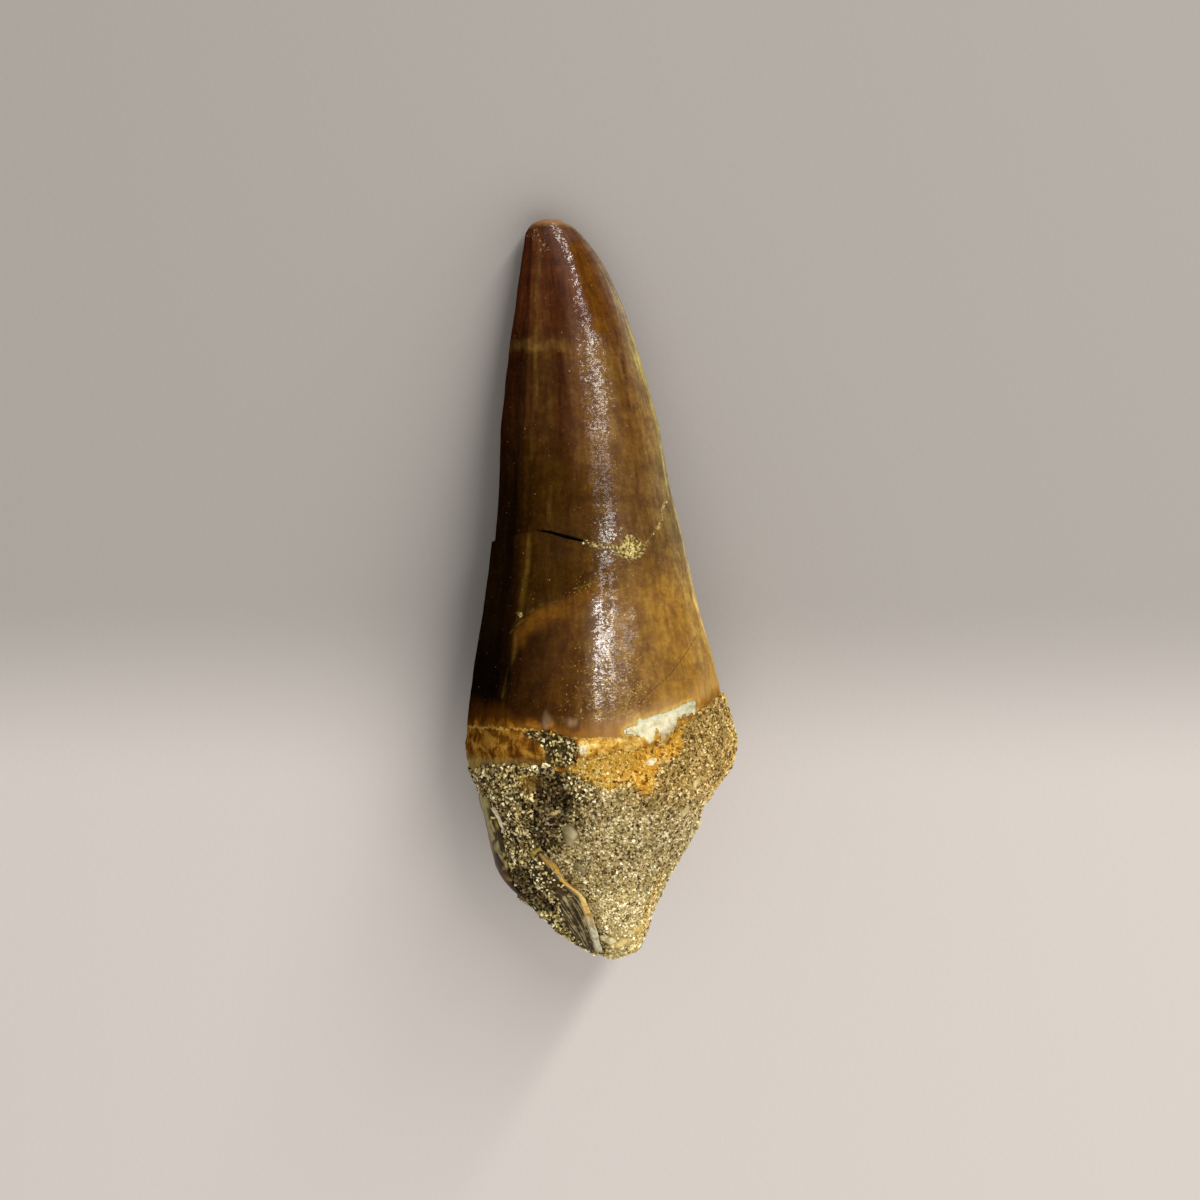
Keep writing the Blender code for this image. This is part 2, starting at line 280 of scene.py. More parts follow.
def depth_inside(outline, places):
    """How far each place lies inside a closed outline: below zero means outside it."""
    closed = (*outline, outline[0])
    far, _ = distance_to(closed, places)
    inside = np.zeros(places.shape[:-1], bool)
    x, y = places[..., 0], places[..., 1]
    for (ax, ay), (bx, by) in zip(closed, closed[1:]):
        if ay != by:
            crossing = ax + (y - ay) / (by - ay) * (bx - ax)
            inside ^= ((ay > y) != (by > y)) & (x < crossing)
    return np.where(inside, far, -far)


def nearest_line(lines, places):
    """How far each place is from the nearest of some lines, in half widths of that line."""
    return np.min([distance_to(line, places)[0] / half_width for line, half_width in lines], axis=0)


def nearest_spot(spots, places):
    return np.min([np.linalg.norm(places - np.array(spot), axis=-1) for spot in spots], axis=0)


def deepest_inside(outlines, places):
    return np.max([depth_inside(outline, places) for outline in outlines], axis=0)


def height_on(line, x):
    """The height of a line of points at x."""
    return np.interp(x, [place[0] for place in line], [place[1] for place in line])


def above_floor(points):
    """Zero where a place all but touches the surface that the tooth lies on, and one above that."""
    return soft_step(moved(points, OWN)[..., 2] / MM, 0.1, 0.35)


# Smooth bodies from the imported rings

def even_ring(ring, across, behind):
    """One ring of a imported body, read again at even turns from 'across' towards 'behind'."""
    offsets = []
    for side in (across, behind):
        reach = ring @ side
        half = max((reach.max() - reach.min()) / 2, 1e-9)
        offsets.append((reach - (reach.max() + reach.min()) / 2) / half)
    turn = np.arctan2(offsets[1], offsets[0])
    turns = np.arange(RING_POINTS) / RING_POINTS * math.tau
    return np.stack([np.interp(turns, turn, ring[:, axis], period=math.tau) for axis in range(3)], axis=-1)


def rings_of(node, across, behind):
    """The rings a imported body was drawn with, in order along it. Its two end points are rings
    of one place."""
    across = np.array(Vector(across).normalized())
    behind = np.array(Vector(behind).normalized())
    points = merged_points(node)
    heights = points @ np.cross(across, behind)
    order = np.argsort(heights)
    cuts = np.flatnonzero(np.diff(heights[order]) > RING_GAP) + 1
    return np.array([even_ring(ring, across, behind) for ring in np.split(points[order], cuts)])


def read_smoothly(table, places, around=False):
    """The table read between its rows, on smooth curves through them."""
    index = np.floor(places).astype(int)
    share = (places - index).reshape(-1, *[1] * (table.ndim - 1))
    count = len(table)
    near = []
    for step in (-1, 0, 1, 2):
        rows = (index + step) % count if around else np.clip(index + step, 0, count - 1)
        near.append(table[rows])
    a, b, c, d = near
    return (
        b + share * (c - a) / 2
        + share**2 * (a - 2.5 * b + 2 * c - 0.5 * d)
        + share**3 * (1.5 * (b - c) + 0.5 * (d - a))
    )


def resampled(rings, rows, columns):
    """The rings read at those rows and columns, as a finer grid of points."""
    grid = read_smoothly(rings, rows)
    return np.swapaxes(read_smoothly(np.swapaxes(grid, 0, 1), columns, around=True), 0, 1)


def outward(grid):
    """The outward direction at each point of a grid of rings."""
    along = np.gradient(grid, axis=0)
    around = np.roll(grid, -1, axis=1) - np.roll(grid, 1, axis=1)
    normal = np.cross(around, along)
    normal /= np.maximum(np.linalg.norm(normal, axis=-1, keepdims=True), 1e-9)
    if ((grid - grid.mean(axis=1, keepdims=True)) * normal).sum() < 0:
        normal = -normal
    for end, inner in ((0, 1), (-1, -2)):
        pole = grid[end, 0] - grid[inner].mean(axis=0)
        normal[end] = pole / np.linalg.norm(pole)
    return normal


def flat_list(grid):
    """The points of a grid of rings in a list, with each end point once."""
    middle = grid[1:-1].reshape(-1, *grid.shape[2:])
    return np.concatenate((grid[:1, 0], middle, grid[-1:, 0]))


def ring_faces(rows, columns):
    """Faces over a grid of rings whose first and last rows are single points."""
    last = 1 + (rows - 2) * columns
    here = np.arange(columns)
    after = (here + 1) % columns
    faces = [(0, 1 + a, 1 + b) for a, b in zip(here, after)]
    for row in range(rows - 3):
        low = 1 + row * columns
        high = low + columns
        faces += list(zip(low + here, high + here, high + after, low + after))
    low = last - columns
    faces += [(low + a, last, low + b) for a, b in zip(here, after)]
    return faces


def ball(cuts, radius):
    """The points, the faces and the edges of a ball of triangles."""
    body = bmesh.new()
    bmesh.ops.create_icosphere(body, subdivisions=cuts, radius=radius)
    points = np.array([vert.co for vert in body.verts])
    faces = np.array([[vert.index for vert in face.verts] for face in body.faces])
    edges = np.array([[vert.index for vert in edge.verts] for edge in body.edges])
    body.free()
    return points, faces, edges


def put_in_scene(name, data):
    made = bpy.data.objects.new(name, data)
    bpy.context.scene.collection.objects.link(made)
    return made


def piece_from(name, points, faces, material, masks):
    """A mesh object from own millimetres. It never reaches below the surface it lies on."""
    placed = moved(points, OWN)
    placed[:, 2] = np.maximum(placed[:, 2], 0)
    mesh = bpy.data.meshes.new(name)
    mesh.from_pydata(placed.tolist(), [], [tuple(int(i) for i in face) for face in faces])
    body = bmesh.new()
    body.from_mesh(mesh)
    if body.calc_volume(signed=True) < 0:
        bmesh.ops.reverse_faces(body, faces=body.faces)
    body.to_mesh(mesh)
    body.free()
    for mask, values in masks.items():
        kind = "FLOAT_VECTOR" if values.ndim == 2 else "FLOAT"
        layer = mesh.attributes.new(mask, kind, "POINT")
        layer.data.foreach_set("vector" if values.ndim == 2 else "value", values.astype(np.float32).ravel())
    mesh.shade_smooth()
    mesh.materials.append(material)
    return put_in_scene(name, mesh)


def grid_piece(name, grid, relief, material, masks):
    """A mesh object from a grid of rings, pushed out by its relief."""
    faces = ring_faces(*grid.shape[:2])
    listed = {mask: flat_list(values) for mask, values in masks.items()}
    raised = grid + outward(grid) * relief[..., None]
    return piece_from(name, flat_list(raised), faces, material, listed)


# Crown

def crown_rows(rings):
    """Where to read the crown's rings, so that its rows lie as ROW_SPACING says."""
    fine = np.linspace(0, len(rings) - 1, 2000)
    line = read_smoothly(rings, fine)[:, 0]
    steps = np.linalg.norm(np.diff(line, axis=0), axis=1)
    heights = (line[1:, 1] + line[:-1, 1]) / 2
    rows = np.append(0, np.cumsum(steps / height_on(ROW_SPACING, heights)))
    return np.interp(np.linspace(0, rows[-1], CROWN_ROWS), rows, fine)


def crown_angles():
    """The angle of each column around the crown, from +x towards the front, where they crowd."""
    even = np.arange(CROWN_COLUMNS) / CROWN_COLUMNS * math.tau
    return even + FRONT_CROWDING * np.cos(even)


def half_turn(angle):
    """The same angle, between minus and plus half a turn."""
    return (angle + math.pi) % math.tau - math.pi


def crown_masks(grid, angle):
    """What each place on the crown is, as smooth values for the shape and the enamel. What is
    drawn on its front counts as far away, or as outside, on its back."""
    angle = np.broadcast_to(angle, grid.shape[:2])
    places = seen(grid)
    height = grid[..., 1]
    hidden = (1 - soft_step(np.sin(angle), -0.05, 0.25)) * BEHIND
    crack, along_crack = distance_to(OPEN_CRACK, places)
    spots = {
        "crack": crack / np.interp(along_crack, range(len(OPEN_CRACK)), OPEN_CRACK_HALF_WIDTHS),
        "trail": np.minimum(distance_to(GOLD_TRAIL, places)[0], nearest_spot((GOLD_SPECK,), places)),
        "crumbs": nearest_spot(TIP_CRUMBS, places),
    }
    spots.update({mask: nearest_line(lines, places) for mask, lines in LINES_ON_CROWN.items()})
    masks = {
        "flow": np.stack((np.cos(angle), np.sin(angle), height / 10), axis=-1),
        "gum": height - height_on(GUM_LINE, np.degrees(half_turn(angle))),
        "below_healed": height_on(HEALED_CRACK, places[..., 0]) - places[..., 1],
        "grey_strip": places[..., 1] - height_on(GREY_STRIP, places[..., 0]),
        "shine": distance_to(POLISHED_LINE, places)[0],
    }
    masks.update({mask: away + hidden for mask, away in spots.items()})
    for mask, outlines in OUTLINES_ON_CROWN.items():
        masks[mask] = deepest_inside(outlines, places) - hidden
    return masks


def crown_beds(grid, masks):
    """Where grains lie on the crown, how dark they are, with painted shade in the notch, where they are
    stained orange, and where they are paler, partly with painted light, on the right.
    """
    across = seen(grid)[..., 0]
    side = masks["flow"][..., 0]
    ragged = 0.25 * rough(grid, 0.7, 2)
    notch = soft_step(masks["notch"] + ragged, -0.05, 0.2)
    crust = soft_step(masks["gum"] + ragged, 0.0, -0.3) * soft_step(side, -0.35, -0.2) * (1 - notch)
    bare = soft_step(masks["white"], 0.15, -0.1)
    gold = np.max((masks["gold"] + 0.15, 0.28 - masks["trail"], 0.16 - masks["vein"]), axis=0)
    return {
        "notch_sand": notch,
        "crust_sand": crust * bare * (0.25 + 0.75 * soft_step(across, 4.0, 6.0)),
        "gold_sand": soft_step(gold + 0.5 * ragged, 0.0, 0.1),
        "stain": (1 - notch) * soft_step(across, 7.6, 5.6),
        "yellowed": (1 - notch) * 0.7,
        "flaky": notch,
        "pale_tone_and_painted_light": soft_step(grid[..., 2], 4.5, 0.0) * soft_step(side, 0.2, 0.6),
        # Grains in the notch are darker, as painted shade in the recess.
        "bed": 1 - 0.3 * notch,
    }


def enamel_relief(height, angle, flow):
    """Flutes up the crown, growth bands around it, and its cutting edges."""
    tall = flow * np.array((4.2, 4.2, 0.75))
    flutes = 0.055 * rough(tall, 1) + 0.022 * rough(tall * np.array((2.6, 2.6, 1.3)), 1)
    bands = flow * np.array((0.9, 0.9, 5.2))
    growth = 0.035 * rough(bands, 1) + 0.014 * rough(bands * np.array((1.5, 1.5, 2.9)), 1)
    edges = np.zeros(len(angle))
    for edge in CUTTING_EDGES:
        away = np.abs(half_turn(angle - math.radians(edge)))
        edges += np.exp(-((away / CUTTING_EDGE_HALF_WIDTH) ** 2))
    running = (flutes + growth) * soft_step(height, 40.8, 39.4)
    return running + 0.1 * edges * soft_step(height, 40, 34)


def crown_relief(grid, angle, masks):
    """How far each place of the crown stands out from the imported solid."""
    height = grid[..., 1]
    side = masks["flow"][..., 0]
    places = seen(grid)
    enamel = soft_step(masks["gum"], -0.1, 0.25)
    relief = enamel * enamel_relief(height, angle, masks["flow"])
    for crest, half_width, rise, fades in RIDGES:
        away, _ = distance_to(crest, places)
        shown = np.interp(height, fades, (0, 1, 1, 0)) * (grid[..., 2] > TIP.z)
        relief += enamel * rise * shown * np.exp(-((away / half_width) ** 2) / 2)
    left = soft_step(places[..., 0], -3.0, -6.0) * soft_step(side, 0.1, -0.2)
    above_step = places[..., 1] - height_on(STEP_LINE, places[..., 0])
    relief -= STEP_DEPTH * left * soft_step(above_step, -0.05, 0.1) * soft_step(height, 24, 15)
    for mask, depth, ragged, size, starts, full in CROWN_CUTS:
        rim = ragged * rough(grid, size) if ragged else 0
        relief -= depth * soft_step(masks[mask] + rim, starts, full)
    relief -= height_on(SLIMMER_TIP, height) * soft_step(side, -0.3, -0.9)
    relief += (1 - enamel) * (0.16 * rough(grid, 1.5, 2) + 0.07 * rough(grid, 0.45) - 0.06)
    return relief - 0.1 * soft_step(height, 39.2, 40.7) * (0.5 + rough(grid, 0.8, 2))


def build_crown(material):
    rings = rings_of("crown", (1, 0, 0), (0, 0, 1))
    angle = crown_angles()
    grid = resampled(rings, crown_rows(rings), angle / math.tau % 1 * RING_POINTS)
    masks = crown_masks(grid, angle)
    masks.update(crown_beds(grid, masks))
    return grid_piece("tooth_crown", grid, crown_relief(grid, angle, masks), material, masks)


# Matrix

LUMP_CENTRE = Vector((0.2, -7.0, -0.7))
LUMP_CUTS = 7
OUTER_REACH = 60
UNDER_CROWN = 0.9
INNER_REACH = 11.5
STONE_SINK = 0.35
NO_HIT = -1.0


def first_hit(solid, direction):
    """How far from the middle of the lump a solid's outer side lies, in that direction."""
    hit = solid.ray_cast(LUMP_CENTRE + direction * OUTER_REACH, -direction)[0]
    return NO_HIT if hit is None else (hit - LUMP_CENTRE).dot(direction)


def spread(values, edges, pick):
    """Each value, or a neighbour's if pick prefers that."""
    result = values.copy()
    pick.at(result, edges[:, 0], values[edges[:, 1]])
    pick.at(result, edges[:, 1], values[edges[:, 0]])
    return result


def lump_reach(directions, edges):
    """How far the matrix reaches in each direction, with the narrow gaps around the bedded pieces
    filled, and how far the crown does."""
    crown = solid_of("crown")
    matrix = solid_of("matrix")
    bedded = [solid_of(node) for node in ("bone_splinter", "root_shard", "pebble")]
    reach = np.zeros(len(directions))
    under = np.zeros(len(directions))
    for index, direction in enumerate(directions):
        direction = Vector(direction)
        under[index] = first_hit(crown, direction)
        stones = max(first_hit(solid, direction) for solid in bedded) - STONE_SINK
        reach[index] = max(first_hit(matrix, direction), stones)
    for pick in (np.maximum, np.maximum, np.minimum, np.minimum):
        reach = spread(reach, edges, pick)
    return reach, under


def lump_masks(points, outer, hollow, shown):
    """What each place on the lump is: where its grains lie, how they are stained, and how dark or pale they
    are drawn, with painted shade and light among that.
    """
    places = seen(outer)
    x, y = places.T
    z = outer[:, 2]
    front = z > LUMP_CENTRE.z
    red = np.linalg.norm((places - np.array(RED_SPOT)) / RED_SPOT_SIZE, axis=1) + 0.4 * rough(outer, 0.9, 2)
    red = soft_step(red, 1.2, 0.5) * (z > 0)
    stain_end = height_on(STAIN_END, x) + 0.25 * rough(outer, 0.7, 2)
    stain = np.maximum(soft_step(y - stain_end, -0.15, 0.25) * soft_step(z, -1.0, 2.0), 0.85 * red)
    yellow_edge = 0.8 * soft_step(distance_to(STAINED_EDGE, places)[0], 0.5, 0.0)
    beside_crest = soft_step(distance_to(SPLINTER_CREST, places)[0], 0.35, 0.6)
    sand = shown * above_floor(points) * (1 - 0.5 * stain) * beside_crest
    from_left = x - height_on(DARK_SAND_EDGE, y) + 0.8 * rough(outer, 1.8, 2)
    flaky = front * soft_step(from_left, 1.2, -1.2)
    # The rim on the right and the lowest sand are paler: partly a paler olive sand, partly painted light.
    rim = soft_step(z, 4.5, -0.5) * front * soft_step(x, 2.0, 5.0)
    # Painted shade and light in the sand: darker left of the dark-sand edge, partly its own darker tone, and
    # paler low down. The hollow and the shaded face are painted darker still, as shade; the red spot is
    # darker for its stain.
    light = 0.68 + 0.26 * soft_step(from_left, -0.7, 1.0) + 0.2 * soft_step(y, -12.0, -17.0)
    shaded = soft_step(np.maximum(hollow, depth_inside(SHADED_FACE, places)), -0.3, 0.6) * front
    return {
        "sand": sand,
        "sand_front": sand * front * (1 - 0.45 * flaky),
        "sand_back": sand * ~front,
        "flakes": sand * flaky,
        "flaky": flaky,
        "stain": stain,
        "yellowed": np.maximum(soft_step(x, 0.0, 4.0) * soft_step(y, -8.5, -4.5), yellow_edge),
        "pale_tone_and_painted_light": np.maximum(rim, 0.7 * front * soft_step(y, -10.5, -15.0)),
        "bed": light * (1 - 0.8 * shaded) * (1 - 0.6 * red),
    }


def build_lump(material):
    """The lump of cemented sand, one closed body. Where the crown is outermost, or the sand ends
    on the front, it dives under the crown."""
    directions, faces, edges = ball(LUMP_CUTS, 1)
    reach, under = lump_reach(directions, edges)
    outer = np.array(LUMP_CENTRE) + directions * np.maximum(reach, under)[:, None]
    places = seen(outer)
    z = outer[:, 2]
    hollow = depth_inside(HOLLOW, places) + 0.3 * rough(outer, 1.1, 2)
    relief = 0.2 * rough(outer, 2.1, 2) + 0.12 * rough(outer, 0.8, 2)
    relief -= 0.3 * soft_step(hollow, -0.2, 0.6) * (z > 0)
    relief -= 0.35 * soft_step(distance_to(SPLINTER_CREST, places)[0], 0.9, 0.3) * (z > 0)
    top = height_on(SAND_TOP, places[:, 0]) + 0.24 * rough(outer, 0.9, 2)
    covered = (under > reach + 0.02) | ((places[:, 1] > top) & (z > 0.5))
    length = np.where(covered, np.minimum(under - UNDER_CROWN, INNER_REACH), reach + relief)
    points = np.array(LUMP_CENTRE) + directions * length[:, None]
    return piece_from("matrix_cement", points, faces, material, lump_masks(points, outer, hollow, ~covered))


# Bedded pieces

SPLINTER_LEAN = Vector((-0.75, -0.08, -0.66))
SPLINTER_RUN = Vector((4.75, -7.9, -4.4))
SPLINTER_ROWS = 150
SPLINTER_COLUMNS = 72
CREST_HALF_WIDTH = 0.38
CREST_X = tuple((y, x) for x, y in reversed(SPLINTER_CREST))


def evenly_resampled(rings, rows, columns):
    return resampled(rings, np.linspace(0, len(rings) - 1, rows), np.arange(columns) / columns * RING_POINTS)


def flow_along(rings, grid):
    """Around a grid of rings in x and y, and along it in z, ten millimetres to one."""
    rows, columns = grid.shape[:2]
    turn = np.broadcast_to(np.arange(columns) / columns * math.tau, (rows, columns))
    length = np.linalg.norm(rings[-1].mean(axis=0) - rings[0].mean(axis=0))
    along = np.broadcast_to(np.linspace(0, length / 10, rows)[:, None], (rows, columns))
    return np.stack((np.cos(turn), np.sin(turn), along), axis=-1)


def plain_sand(grid):
    """Masks of the grains on a piece that has no stain, no yellowing, and no paler tone with painted light.
    """
    return dict.fromkeys(("stain", "yellowed", "pale_tone_and_painted_light"), np.zeros(grid.shape[:2]))


def build_splinter(material):
    rings = rings_of("bone_splinter", SPLINTER_RUN.cross(SPLINTER_LEAN), SPLINTER_LEAN)
    grid = evenly_resampled(rings, SPLINTER_ROWS, SPLINTER_COLUMNS)
    places = seen(grid)
    x, y = places[..., 0], places[..., 1]
    depth = grid @ np.array(SPLINTER_LEAN.normalized())
    depth = depth - depth.min(axis=1, keepdims=True)
    crest = distance_to(SPLINTER_CREST, places)[0] / CREST_HALF_WIDTH + 2 * soft_step(depth, 1.6, 2.2)
    relief = 0.09 + 0.06 * rough(grid, 0.9, 2) + 0.03 * rough(grid, 0.3)
    relief += 0.45 * soft_step(y, -13.4, -11.6) * soft_step(crest, 2.0, 0.9)
    sand = soft_step(crest + 0.3 * rough(grid, 0.5), 1.3, 1.6)
    sand *= soft_step(depth_inside(SPLINTER_BARE, places) + 0.2 * rough(grid, 0.6), 0.1, -0.2)
    crest_x = height_on(CREST_X, y)
    masks = {
        **plain_sand(grid),
        "crest": crest,
        "bleached": soft_step(y, -14.8, -17.0),
        "flow": flow_along(rings, grid),
        "sand": sand * above_floor(grid),
        # Grains left of the crest are darker, as painted shade on the face turned from the light.
        "bed": np.where(x > crest_x, 0.9, 0.5 + 0.2 * soft_step(y, -13.5, -15.5)),
        "flaky": 1.0 * (x < crest_x),
    }
    return grid_piece("bone_splinter_skin", grid, relief, material, masks)


# The pale rims on the shard, each with its half width, the hollow spots painted dark as shade, and its lower
# edge, painted reddish black as shade where it overhangs.
SHARD_RIMS = (
    (((-9.3, -6.0), (-9.0, -7.4), (-8.6, -8.6), (-8.2, -10.2)), 0.34),
    (((-8.5, -6.4), (-7.9, -8.2), (-7.3, -10.0)), 0.22),
    (((-8.1, -10.4), (-7.4, -11.4), (-6.9, -12.8), (-6.4, -13.2)), 0.26),
    (((-7.0, -11.2), (-6.2, -11.5), (-5.8, -12.3)), 0.2),
)
SHARD_HOLLOWS = (
    ((-8.3, -8.8), (-7.9, -8.6), (-7.5, -9.8), (-7.6, -10.6), (-8.0, -10.4)),
    ((-7.2, -11.4), (-6.4, -11.7), (-6.2, -12.3), (-6.6, -12.8), (-7.0, -12.4)),
)
SHARD_EDGE = ((-8.3, -11.0), (-7.9, -12.2), (-6.8, -13.9), (-5.6, -15.0), (-4.4, -15.7))
SHARD_ROWS = 170
SHARD_COLUMNS = 96


def build_shard(material):
    rings = rings_of("root_shard", (1, 0, 0), (0, 0, -1))
    grid = evenly_resampled(rings, SHARD_ROWS, SHARD_COLUMNS)
    places = seen(grid)
    below = grid[..., 2] < grid[..., 2].mean(axis=1, keepdims=True)
    relief = 0.1 + 0.08 * rough(grid, 1.2, 2)
    rims = nearest_line(SHARD_RIMS, places)
    edge, _ = distance_to(SHARD_EDGE, places)
    sand = soft_step(np.minimum(rims * 0.3, edge) + 0.4 * rough(grid, 0.9, 2), 0.45, 0.75) * ~below
    masks = {
        **plain_sand(grid),
        "flow": flow_along(rings, grid),
        "rims": rims + BEHIND * below,
        "painted_shade_hollows": deepest_inside(SHARD_HOLLOWS, places) - BEHIND * below,
        "edge": edge,
        "sand": sand * above_floor(grid),
        "bed": np.full(sand.shape, 0.6),
        "flaky": np.ones(sand.shape),
    }
    return grid_piece("root_shard_skin", grid, relief, material, masks)


PEBBLE_CUTS = 5
PEBBLE_GROWTH = (1.25, 1.0, 1.1)


def build_pebble(material):
    solid = merged_points("pebble")
    low, high = solid.min(axis=0), solid.max(axis=0)
    directions, faces, _ = ball(PEBBLE_CUTS, 1)
    points = (low + high) / 2 + directions * (high - low) / 2 * np.array(PEBBLE_GROWTH)
    points += directions * (0.05 * rough(directions, 0.9))[:, None]
    return piece_from("pebble_skin", points, faces, material, {})


# Chips bedded in the sand: where their middle shows, length, width, turn in degrees, and tint.
CHIPS = (
    ((-7.8, -8.3), 4.1, 0.42, -76, (0.52, 0.46, 0.30)),
    ((-5.1, -10.6), 1.1, 0.8, 20, (0.27, 0.20, 0.040)),
    ((-5.0, -11.5), 1.6, 0.3, 12, (0.40, 0.36, 0.17)),
    ((-3.4, -7.3), 1.2, 0.45, 10, (0.36, 0.28, 0.12)),
    ((-7.1, -12.6), 2.2, 0.35, -50, (0.48, 0.42, 0.26)),
    ((-2.1, -9.6), 1.3, 0.45, -8, (0.46, 0.36, 0.19)),
    ((-1.5, -11.8), 1.5, 0.5, -50, (0.25, 0.20, 0.10)),
    ((0.7, -17.6), 1.5, 0.7, -30, (0.60, 0.52, 0.28)),
    ((1.9, -17.9), 1.3, 0.8, 10, (0.56, 0.44, 0.17)),
    ((3.0, -16.9), 1.2, 0.6, 60, (0.52, 0.38, 0.12)),
    ((7.8, -4.9), 1.0, 0.6, 50, (0.56, 0.45, 0.20)),
    ((6.9, -7.2), 1.1, 0.5, 60, (0.50, 0.42, 0.20)),
    ((4.2, -3.2), 1.2, 0.6, 12, (0.70, 0.60, 0.34)),
)
CHIP_CUTS = 3
CHIP_THICKNESS = 0.5


def chip_points(ball_points, spot, normal, place, sides, turn):
    """A rough oval chip that lies flat on the surface at a spot."""
    out = (INTO_OWN.to_3x3() @ normal).normalized()
    along = Vector((math.cos(turn), math.sin(turn), 0))
    along = (along - out * along.dot(out)).normalized()
    shape = ball_points * np.array(sides)
    shape = shape * (1 + 0.5 * rough(shape + np.array((*place, 0)), 0.5, 2))[:, None]
    return np.array(INTO_OWN @ spot) + shape @ np.array((along, out.cross(along), out))


def build_chips(material, lump):
    """The chips, half sunk in the lump where the camera sees them."""
    surface = BVHTree.FromObject(lump, bpy.context.evaluated_depsgraph_get())
    ball_points, ball_faces, _ = ball(CHIP_CUTS, 0.5)
    points, faces, tints = [], [], []
    eye = OWN @ Vector((*AIM, CAMERA_DISTANCE))
    for place, length, width, turn, tint in CHIPS:
        spot, normal = surface.ray_cast(eye, OWN @ Vector((*place, 0)) - eye)[:2]
        sides = (length, width, min(width, CHIP_THICKNESS))
        faces += (ball_faces + sum(map(len, points))).tolist()
        points.append(chip_points(ball_points, spot, normal, place, sides, math.radians(turn)))
        tints += [tint] * len(ball_points)
    return piece_from("chips_in_sand", np.concatenate(points), faces, material, {"tint": np.array(tints)})


# Node trees

class Value:
    """An output of a node. A sum with it adds a Math node to its graph."""

    def __init__(self, graph, socket):
        self.graph = graph
        self.socket = socket

    def __add__(self, other):
        return self.graph.calc("ADD", self, other)

    def __sub__(self, other):
        return self.graph.calc("SUBTRACT", self, other)

    def __rsub__(self, other):
        return self.graph.calc("SUBTRACT", other, self)

    def __mul__(self, other):
        return self.graph.calc("MULTIPLY", self, other)

    def __truediv__(self, other):
        return self.graph.calc("DIVIDE", self, other)

    def __rtruediv__(self, other):
        return self.graph.calc("DIVIDE", other, self)

    def __pow__(self, other):
        return self.graph.calc("POWER", self, other)

    def __abs__(self):
        return self.graph.calc("ABSOLUTE", self)


class Outputs:
    """The outputs of a node, by name or number."""

    def __init__(self, graph, sockets):
        self.graph = graph
        self.sockets = sockets

    def __getitem__(self, name):
        return Value(self.graph, self.sockets[name])


class Graph:
    """Adds nodes to one tree. What feeds an input is a plain value or another node's Value."""

    def __init__(self, tree):
        self.tree = tree

    def feed(self, socket, source):
        if isinstance(source, Value):
            self.tree.links.new(source.socket, socket)
        else:
            socket.default_value = (*source, 1) if socket.type == "RGBA" else source

    def add(self, kind, feeds=None, **settings):
        """A new node, fed and set."""
        made = self.tree.nodes.new(kind)
        for name, value in settings.items():
            setattr(made, name, value)
        for name, source in (feeds or {}).items():
            self.feed(made.inputs[name], source)
        return made

    def node(self, kind, feeds=None, **settings):
        """The outputs of a new node."""
        return Outputs(self, self.add(kind, feeds, **settings).outputs)

    def calc(self, operation, *sources):
        return self.node("ShaderNodeMath", dict(enumerate(sources)), operation=operation)[0]

    def vector(self, operation, *sources, **named):
        """Vector maths. It gives a vector, or a number for a dot product."""
        made = self.node("ShaderNodeVectorMath", {**dict(enumerate(sources)), **named}, operation=operation)
        return made["Value" if operation == "DOT_PRODUCT" else "Vector"]

    def product(self, first, *others):
        for other in others:
            first = first * other
        return first

    def greatest(self, first, *others):
        for other in others:
            first = self.calc("MAXIMUM", first, other)
        return first

    def step(self, value, low, high):
        """From 0 at low to 1 at high, with no corner."""
        feeds = {"Value": value, "From Min": low, "From Max": high}
        return self.node("ShaderNodeMapRange", feeds, interpolation_type="SMOOTHSTEP")["Result"]

    def mix(self, share, below, above, way="MIX"):
        feeds = {0: share, 6: below, 7: above}
        return self.node("ShaderNodeMix", feeds, data_type="RGBA", blend_type=way)[2]

    def tinted(self, colour, tint):
        return self.mix(1.0, colour, tint, "MULTIPLY")

    def stretched(self, place, stretch):
        return self.vector("MULTIPLY", place, stretch)

    def noise(self, place, scale, detail=3.0, wander=0.0, output="Fac"):
        feeds = {"Vector": place, "Scale": scale, "Detail": detail, "Distortion": wander}
        return self.node("ShaderNodeTexNoise", feeds)[output]

    def ramp(self, value, stops):
        made = self.add("ShaderNodeValToRGB", {"Fac": value})
        elements = made.color_ramp.elements
        while len(elements) < len(stops):
            elements.new(1)
        for element, (position, colour) in zip(elements, stops):
            element.position = position
            element.color = (*colour, 1)
        return Value(self, made.outputs["Color"])

    def read(self, name, output="Fac"):
        """One of the piece's own attributes."""
        return self.node("ShaderNodeAttribute", attribute_name=name)[output]

    def split(self, vector):
        parts = self.node("ShaderNodeSeparateXYZ", {"Vector": vector})
        return [parts[axis] for axis in range(3)]

    def millimetres(self):
        """Places on the piece, in millimetres."""
        return self.stretched(self.node("ShaderNodeTexCoord")["Object"], (1 / MM,) * 3)

    def group(self, tree, **feeds):
        return self.node("ShaderNodeGroup", feeds, node_tree=tree)


class Group(Graph):
    """A node group with named sockets: self.given are its inputs."""

    def __init__(self, name, kind, inputs, outputs):
        super().__init__(bpy.data.node_groups.new(name, kind))
        for way, sockets in (("INPUT", inputs), ("OUTPUT", outputs)):
            for socket, socket_type in sockets.items():
                self.tree.interface.new_socket(socket, in_out=way, socket_type="NodeSocket" + socket_type)
        self.given = self.node("NodeGroupInput")

    def giving(self, **results):
        """The finished tree, whose outputs are these."""
        self.add("NodeGroupOutput", results)
        return self.tree


